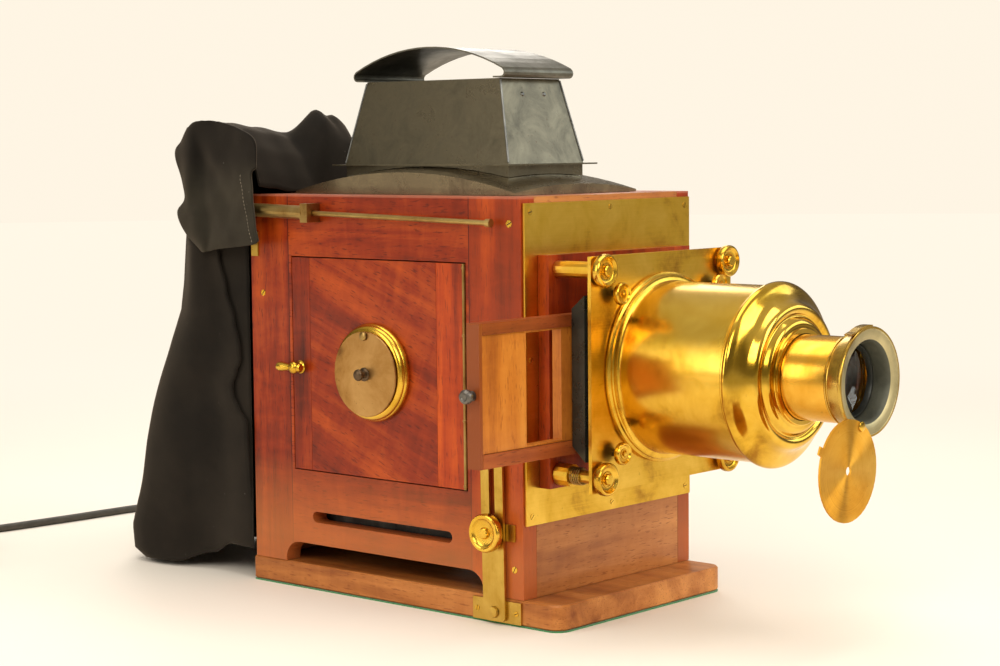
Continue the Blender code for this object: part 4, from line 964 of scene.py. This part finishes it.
for side, sign in SIDES:
    for k, y in enumerate((-0.1255, -0.0865)):
        SCREWS.append(("bracket_%s_%d" % (side, k), (sign * 0.1050, y, 0.0100), (sign, 0, 0), 0.0022,
                       0.4 + k, "base"))
for k, x in enumerate((-0.055, 0.0, 0.055)):
    SCREWS.append(("tilt_leaf_%d" % k, (x, 0.1675, 0.0120), (0, 1, 0), 0.0022, 0.7 * k, "base"))
for name, at, axis, radius, turn, body in SCREWS:
    add(slotted_screw("screw_" + name, at, axis, radius, [small_brass, slot_painted_shade], turn), body)


FLUE_Y = 0.019
CHIMNEY_LOW = (0.0455, 0.0890, 0.3442)
CHIMNEY_HIGH = (0.0355, 0.0725, 0.4108)
iron_edge = iron("iron_edge", (0.22, 0.22, 0.20), (0.09, 0.09, 0.08), gloss=0.26, speck=0.2)


def chimney_size(z):
    t = (z - CHIMNEY_LOW[2]) / (CHIMNEY_HIGH[2] - CHIMNEY_LOW[2])
    return tuple(a + (b - a) * t for a, b in zip(CHIMNEY_LOW[:2], CHIMNEY_HIGH[:2]))


def chimney_corner(sx, sy, z):
    half_x, half_y = chimney_size(z)
    return (sx * half_x, FLUE_Y + sy * half_y, z)


def small_parts():
    """Plates, rivets and folded seams that the CAD leaves out."""
    for side, sign in SIDES:
        x0, x1 = sorted((sign * 0.1031, sign * 0.1048))
        add(boxed("stud_plate_" + side, (x0, -0.1244, 0.0640), (x1, -0.0850, 0.0768), strap_brass), "case")
        x0, x1 = sorted((sign * 0.1029, sign * 0.1042))
        add(boxed("rear_strip_" + side, (x0, 0.1525, 0.2700), (x1, 0.1610, 0.2900), strap_brass), "case")
    rivet = [(0.0, 0.0013), (0.0012, 0.0010), (0.0019, 0.0), (0.0, -0.0003)]
    for name, sign in (("front", -1), ("rear", 1)):
        for k, x in enumerate((-0.013, 0.013)):
            y = FLUE_Y + sign * (chimney_size(0.3985)[1])
            piece = turned("rivet_%s_%d" % (name, k), rivet, (0, sign, 0.25), (x, y, 0.3985), iron_edge, 14)
            add(piece, "chimney")
    for sx in (-1, 1):
        for sy in (-1, 1):
            ends = [chimney_corner(sx, sy, 0.3455), chimney_corner(sx, sy, 0.4095)]
            name = "seam_%s%s" % ("l" if sx < 0 else "r", "f" if sy < 0 else "b")
            add(tube(name, ends, 0.0009, iron_edge, 8), "chimney")


small_parts()


# ------------------------------------------------------------------ black cloth
CLOTH_HALF_X = 0.1042
BACK_LINE = [(0.3050, 0.0030), (0.3200, 0.0110), (0.3240, 0.0300), (0.3190, 0.0500), (0.3120, 0.0710),
             (0.3010, 0.1070), (0.2890, 0.1430), (0.2800, 0.1690), (0.2700, 0.1960), (0.2585, 0.2220),
             (0.2555, 0.2450), (0.2545, 0.2800), (0.2530, 0.3200), (0.2490, 0.3450), (0.2390, 0.3640),
             (0.2200, 0.3745), (0.1990, 0.3780), (0.1800, 0.3720), (0.1640, 0.3560), (0.1540, 0.3370),
             (0.1500, 0.3245)]
EDGE_LINE = [(0.0, 0.1645), (0.1250, 0.1645), (0.1326, 0.1660), (0.1433, 0.1754), (0.1538, 0.1813),
             (0.1621, 0.1823), (0.1733, 0.1770), (0.1836, 0.1717), (0.1960, 0.1726), (0.2165, 0.1781),
             (0.2411, 0.1873), (0.2691, 0.1964), (0.3000, 0.2000), (0.3400, 0.1900), (0.3800, 0.1850)]
RIDGE = [(-0.108, 0.003), (-0.090, 0.001), (-0.060, -0.004), (-0.019, -0.011), (0.016, -0.018),
         (0.060, -0.014), (0.108, -0.004)]
FRONT_SLOPE = [(0.0, 0.1645), (0.3400, 0.1645), (0.3560, 0.1690), (0.3640, 0.1770), (0.3720, 0.1880),
               (0.3790, 0.1990), (0.5, 0.1990)]
RIDGE_AT = 0.857
HEM_RISE = [(0.160, 0.0230), (0.195, 0.0235), (0.223, 0.0120), (0.262, 0.0015), (0.320, 0.0)]
# The turned-out corner: columns of points from rear to front, each from top to bottom. A scratch script
# took them from the photo through the fitted camera, with guessed depths.
CUFF = [
    [(-0.1100, 0.2296, 0.3755), (-0.1120, 0.2354, 0.3642), (-0.1120, 0.2434, 0.3530),
     (-0.1145, 0.2288, 0.3196), (-0.1150, 0.2390, 0.3052), (-0.1150, 0.2293, 0.2886),
     (-0.1140, 0.2106, 0.2731)],
    [(-0.1150, 0.2047, 0.3809), (-0.1160, 0.2188, 0.3761), (-0.1180, 0.2187, 0.3488),
     (-0.1165, 0.2202, 0.3172), (-0.1190, 0.2140, 0.3024), (-0.1190, 0.2070, 0.2842),
     (-0.1160, 0.2046, 0.2725)],
    [(-0.1130, 0.1871, 0.3799), (-0.1150, 0.2052, 0.3669), (-0.1120, 0.2068, 0.3446),
     (-0.1140, 0.2040, 0.3222), (-0.1145, 0.2015, 0.3041), (-0.1160, 0.1966, 0.2868),
     (-0.1160, 0.1995, 0.2735)],
    [(-0.1140, 0.1628, 0.3746), (-0.1150, 0.1772, 0.3487), (-0.1165, 0.1760, 0.3340),
     (-0.1170, 0.1784, 0.3160), (-0.1180, 0.1790, 0.2996), (-0.1200, 0.1772, 0.2849),
     (-0.1180, 0.1847, 0.2756)],
    [(-0.1150, 0.1428, 0.3648), (-0.1175, 0.1576, 0.3389), (-0.1200, 0.1540, 0.3260),
     (-0.1205, 0.1514, 0.3139), (-0.1215, 0.1470, 0.3010), (-0.1230, 0.1421, 0.2890),
     (-0.1240, 0.1389, 0.2802)],
    [(-0.1165, 0.1394, 0.3422), (-0.1185, 0.1433, 0.3382), (-0.1205, 0.1402, 0.3261),
     (-0.1210, 0.1388, 0.3140), (-0.1215, 0.1362, 0.3020), (-0.1220, 0.1336, 0.2915),
     (-0.1225, 0.1309, 0.2835)],
]


def along_line(points, t):
    """Point at share t of a chain's length."""
    lengths = [math.dist(a, b) for a, b in zip(points, points[1:])]
    left = t * sum(lengths)
    for a, b, length in zip(points, points[1:], lengths):
        if left <= length:
            return tuple(p + (q - p) * left / length for p, q in zip(a, b))
        left -= length
    return points[-1]


def between(table, x):
    for (x0, a), (x1, b) in zip(table, table[1:]):
        if x <= x1:
            return a + (b - a) * ease((x - x0) / (x1 - x0))
    return table[-1][1]


def rounded_corner(x, y, r, from_side):
    """Quarter turn between the side wall and the back wall of the cloth."""
    sign = -1 if x < 0 else 1
    steps = range(1, 7) if from_side else range(5, -1, -1)
    return [(x - sign * (r - r * math.cos(a)), y - r + r * math.sin(a))
            for a in (math.pi / 2 * k / 6 for k in steps)]


PLAN_SHARE = [0.0, 0.075, 0.080, 0.085, 0.150, 0.154, 0.158, 0.300, 0.306, 0.312, 0.318, 0.324, 0.330, 0.336,
              0.680, 0.686, 0.692, 0.698, 0.704, 0.710, 1.0]


def cloth_plan(z, front, fold, y_back, r):
    """Plan of the cloth at one height: the doubled left front edge, then round the back to the right."""
    half = CLOTH_HALF_X
    deep = max(0.0, min(fold + 0.030, y_back - 0.014) - front)
    closed = ease((z - 0.050) / 0.090) * ease((y_back - fold - 0.02) / 0.02)
    inner = front + deep * closed
    edge = fold * closed + (front + 0.0008) * (1 - closed)
    outer = half + 0.0032 * closed
    wall = -outer - 0.0012 * closed
    plan = [(-half, front), (-half, inner), (-half - 0.0016 * closed, inner + 0.0010), (-outer, inner),
            (-outer, edge + 0.0005), (-outer - 0.0005 * closed, edge + 0.0002), (wall, edge + 0.0012),
            (wall, y_back - r)]
    plan += rounded_corner(wall, y_back, r, True)
    return plan + rounded_corner(half, y_back, r, False) + [(half, front)]


def plan_point(plan, s):
    """Point of the plan at share s."""
    k = max(i for i, value in enumerate(PLAN_SHARE[:-1]) if value <= s + 1e-9)
    inside = (s - PLAN_SHARE[k]) / (PLAN_SHARE[k + 1] - PLAN_SHARE[k])
    return tuple(a + (b - a) * inside for a, b in zip(plan[k], plan[k + 1]))


def ridge_and_hem(x, y, z, t, roof):
    """Height with the bunched ridge over the roof and the raised hem at the table."""
    z += between(RIDGE, x) * roof
    peak = ease((x + 0.042) / 0.026) * (1 - ease((x - 0.012) / 0.030))
    crumple = 0.034 + 0.006 * noise.noise(Vector((x * 70.0, t * 20.0, 3.0)))
    z += peak * crumple * ease((t - 0.84) / 0.07) * (1 - ease((t - 0.955) / 0.045))
    hem = max(0.0, 1.0 - t / 0.16) ** 1.5
    return z + between(HEM_RISE, y) * hem


def fold_lift(s, t, x, y, z):
    """How far hanging folds, dents and small creases stand out."""
    hang = 1.0 - ease((t - 0.60) / 0.30)
    wide = 0.0010 + 0.0062 * (1.0 - t) ** 0.7
    drift = noise.noise(Vector((s * 2.2, t * 1.3, 4.0)))
    wave = math.sin(2 * math.pi * (4.6 * s + 0.30 * drift) + 0.8 * t)
    wave += 0.35 * math.sin(2 * math.pi * (8.3 * s + 0.5 * drift) - 1.9 * t)
    calm = ease((s - 0.165) / 0.05) * ease((1.0 - s) / 0.08)
    lift = wide * hang * wave * calm
    lift += 0.0050 * noise.noise(Vector((x * 13.0, y * 13.0 + 7.0, z * 9.0))) * (0.25 + 0.75 * calm)
    lift += 0.0010 * noise.noise(Vector((x * 34.0, y * 34.0, z * 16.0))) * (0.2 + 0.8 * calm)
    return lift


def cloth_point(s, t):
    """Hood of cloth: s runs round the back from the left front edge to the right one, t from hem to roof."""
    y_back, z = along_line(BACK_LINE, t)
    fold = between(EDGE_LINE, z)
    front = between(FRONT_SLOPE, z) if t < RIDGE_AT else y_back - 0.002
    y_back = max(y_back, front + 0.002)
    fold = max(fold, front + 0.0008)
    r = min(0.016, (y_back - front) * 0.45)
    x, y = plan_point(cloth_plan(z, front, fold, y_back, r), s)
    roof = ease((t - 0.66) / 0.22)
    z = ridge_and_hem(x, y, z, t, roof)
    lift = fold_lift(s, t, x, y, z)
    out = Vector((x, y, z)) - Vector((0.0, 0.205, min(z, 0.30)))
    out.z *= 0.15 + 0.85 * roof
    if abs(x) > CLOTH_HALF_X - 0.002 and y < y_back - r:
        out = Vector((-1.0 if x < 0 else 1.0, 0.0, 0.15 * roof))
    out.normalize()
    at = Vector((x, y, z)) + out * lift
    if 0.285 < at.z < 0.330:
        at.x = max(-0.1076, min(0.1076, at.x))
    if s < 0.16:
        at.x = max(-0.1086, min(-0.1034, at.x))
    return at


def grid_faces(across, up):
    rows = range(up)
    return [(j * (across + 1) + i, j * (across + 1) + i + 1, (j + 1) * (across + 1) + i + 1,
             (j + 1) * (across + 1) + i) for j in rows for i in range(across)]


def make_curtain():
    across, up = 190, 120
    verts = [cloth_point(i / across, j / up) for j in range(up + 1) for i in range(across + 1)]
    cloth = new_mesh("black_curtain", verts, grid_faces(across, up), cloth_look, 180.0)
    settle(cloth)
    thick = cloth.modifiers.new("Thickness", "SOLIDIFY")
    thick.thickness = 0.0008
    thick.offset = 0.0
    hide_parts("curtain")
    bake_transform(cloth)
    return cloth


def settle(cloth):
    """Keep the cloth off the table, the case and the roof."""
    for vert in cloth.data.vertices:
        at = vert.co
        at.z = min(max(at.z, 0.0012), 0.3985)
        if at.y < 0.1640:
            if at.z < 0.3080:
                at.y = 0.1640
            else:
                at.z = max(at.z, 0.3222)


def through(points, t):
    """Catmull-Rom curve through a row of points."""
    spans = len(points) - 1
    k = min(int(t * spans), spans - 1)
    u = t * spans - k
    a = points[k - 1] if k else points[0] * 2 - points[1]
    b, c = points[k], points[k + 1]
    d = points[k + 2] if k + 2 <= spans else points[-1] * 2 - points[-2]
    return spline(a, b, c, d, u)


def make_cuff():
    """Corner of the cloth turned outwards over the tube: a doubled, hemmed flap."""
    columns = [[Vector(p) for p in column] for column in CUFF]
    across, down = 60, 72
    verts = []
    for j in range(down + 1):
        row = [through(column, j / down) for column in columns]
        for i in range(across + 1):
            at = through(row, i / across)
            at.x += 0.0008 * noise.noise(at * 60.0) - 0.0006 * abs(noise.noise(at * 25.0))
            verts.append(at)
    cuff = new_mesh("curtain_corner", verts, grid_faces(across, down), cloth_back_dust_and_sheen, 180.0)
    thick = cuff.modifiers.new("Thickness", "SOLIDIFY")
    thick.thickness = 0.0018
    thick.offset = 0.0
    add(cuff, "case")
    column = [verts[j * (across + 1) + 50] + Vector((-0.0011, 0, 0)) for j in range(13, down)]
    seam = add(stitches("hem_stitches", column), "case")
    return cuff, seam


def stitches(name, points):
    """Row of short raised thread stitches along a line."""
    line = [tuple(p) for p in points]
    total = sum(math.dist(a, b) for a, b in zip(line, line[1:]))
    count = int(total / 0.0030)
    bm = bmesh.new()
    for k in range(count):
        a, b = Vector(along_line(line, k / count)), Vector(along_line(line, (k + 0.66) / count))
        side = (b - a).normalized().cross(Vector((-1, 0, 0))).normalized() * 0.00026
        ring = [bm.verts.new(p) for p in (a - side, a + side, b + side, b - side)]
        lift = Vector((-0.0004, 0, 0))
        crown = [bm.verts.new(a.lerp(b, 0.3) + lift), bm.verts.new(a.lerp(b, 0.7) + lift)]
        bm.faces.new((ring[0], ring[1], crown[0]))
        bm.faces.new((ring[1], ring[2], crown[1], crown[0]))
        bm.faces.new((ring[2], ring[3], crown[1]))
        bm.faces.new((ring[3], ring[0], crown[0], crown[1]))
    return close(name, bm, thread, 60.0)


thread = rubber("hem_thread", (0.16, 0.13, 0.09), 0.8)
# Reverse side of the cloth on the turned-out corner: browner and dustier, and lighter partly as painted
# sheen.
cloth_back_dust_and_sheen = black_cloth("black_cotton_back_dust_and_sheen", ((0.012, 0.0105, 0.0070), (0.034, 0.029, 0.019)),
                          fade=(0.325, 0.352))
curtain = make_curtain()
cuff, hem = make_cuff()


lens_detail()
door_detail()


# ------------------------------------------------------------------ studio
BACKDROP = (1.0, 0.915, 0.775)


def studio():
    scene = bpy.context.scene
    scene.view_settings.view_transform = "Standard"
    world = bpy.data.worlds.new("studio")
    scene.world = world
    world.use_nodes = True
    tree = world.node_tree
    tree.nodes.clear()
    out = tree.nodes.new("ShaderNodeOutputWorld")
    seen = tree.nodes.new("ShaderNodeBackground")
    seen.inputs[0].default_value = (*BACKDROP, 1.0)
    seen.inputs[1].default_value = 1.0
    light = tree.nodes.new("ShaderNodeBackground")
    light.inputs[1].default_value = 0.62
    coord = tree.nodes.new("ShaderNodeTexCoord")
    split = tree.nodes.new("ShaderNodeSeparateXYZ")
    ramp = tree.nodes.new("ShaderNodeValToRGB")
    reach = tree.nodes.new("ShaderNodeMapRange")
    reach.inputs["From Min"].default_value = -1.0
    reach.inputs["From Max"].default_value = 1.0
    stops = [(0.0, (0.80, 0.74, 0.64)), (0.46, (0.95, 0.88, 0.78)), (0.53, (0.30, 0.27, 0.23)),
             (0.66, (0.22, 0.20, 0.17)), (0.76, (0.75, 0.71, 0.64)), (1.0, (1.0, 0.96, 0.90))]
    fill_ramp(ramp.color_ramp, stops)
    path = tree.nodes.new("ShaderNodeLightPath")
    blend = tree.nodes.new("ShaderNodeMixShader")
    links = tree.links
    links.new(coord.outputs["Generated"], split.inputs[0])
    links.new(split.outputs[2], reach.inputs["Value"])
    links.new(reach.outputs[0], ramp.inputs[0])
    links.new(ramp.outputs[0], light.inputs[0])
    links.new(path.outputs["Is Camera Ray"], blend.inputs[0])
    links.new(light.outputs[0], blend.inputs[1])
    links.new(seen.outputs[0], blend.inputs[2])
    links.new(blend.outputs[0], out.inputs[0])
    area_light("key", (-1.9, -1.5, 1.7), (0, 0, 0.2), (1.2, 1.2), 30.0, (1.0, 0.95, 0.88))
    area_light("front", (0.6, -2.4, 1.2), (0, -0.1, 0.2), (1.0, 1.6), 24.0, (1.0, 0.95, 0.88))
    area_light("top", (0.0, 0.0, 2.2), (0, 0, 0.2), (1.8, 1.8), 30.0, (1.0, 0.97, 0.92))
    area_light("side", (-2.2, 0.8, 1.0), (0, 0.1, 0.2), (1.0, 1.4), 16.0, (1.0, 0.95, 0.88))
    area_light("right", (1.72, -1.41, 1.08), (0, 0, 0.35), (1.5, 0.75), 7.5, (0.84, 0.94, 1.0))
    area_light("strip", (-1.60, 1.12, 0.07), (-0.06, -0.2, 0.18), (1.8, 0.07), 1.2, (1.0, 0.86, 0.66))
    area_light("back", (1.6, 1.8, 1.4), (0, 0.1, 0.2), (1.2, 1.2), 16.0, (1.0, 0.95, 0.88))


def area_light(name, at, aim, size, power, colour):
    data = bpy.data.lights.new(name, "AREA")
    data.shape = "RECTANGLE"
    data.size, data.size_y = size
    data.energy = power
    data.color = colour
    lamp = bpy.data.objects.new(name, data)
    bpy.context.scene.collection.objects.link(lamp)
    lamp.location = at
    lamp.rotation_euler = (Vector(aim) - Vector(at)).to_track_quat("-Z", "Y").to_euler()


def floor():
    s = Shader("pale_floor")
    cloud = s.noise(s.coord, 0.9, 3.0)
    parts = s.node("SeparateXYZ", Vector=s.coord).outputs
    away = s.distance(parts[0], parts[1])
    far = s.remap(away, 0.55, 1.9, kind="SMOOTHSTEP")
    near = s.math("SUBTRACT", 1.0, far)
    tint = s.ramp(cloud, [(0.3, (0.86, 0.79, 0.685)), (0.7, (0.88, 0.81, 0.71))])
    s.set(Base_Color=s.mix(near, (0.0, 0.0, 0.0), tint), Roughness=0.6, Specular_IOR_Level=0.1)
    seen = s.node("LightPath").outputs[0]
    dim = s.remap(seen, 0.0, 1.0, 0.45, 1.0)
    s.set(Emission_Color=BACKDROP, Emission_Strength=s.times(far, dim))
    bm = bmesh.new()
    ring = [bm.verts.new((9 * math.cos(2 * math.pi * k / 64), 9 * math.sin(2 * math.pi * k / 64), 0.0))
            for k in range(64)]
    bm.faces.new(ring)
    close("studio_floor", bm, s.mat, 0)


studio()
floor()
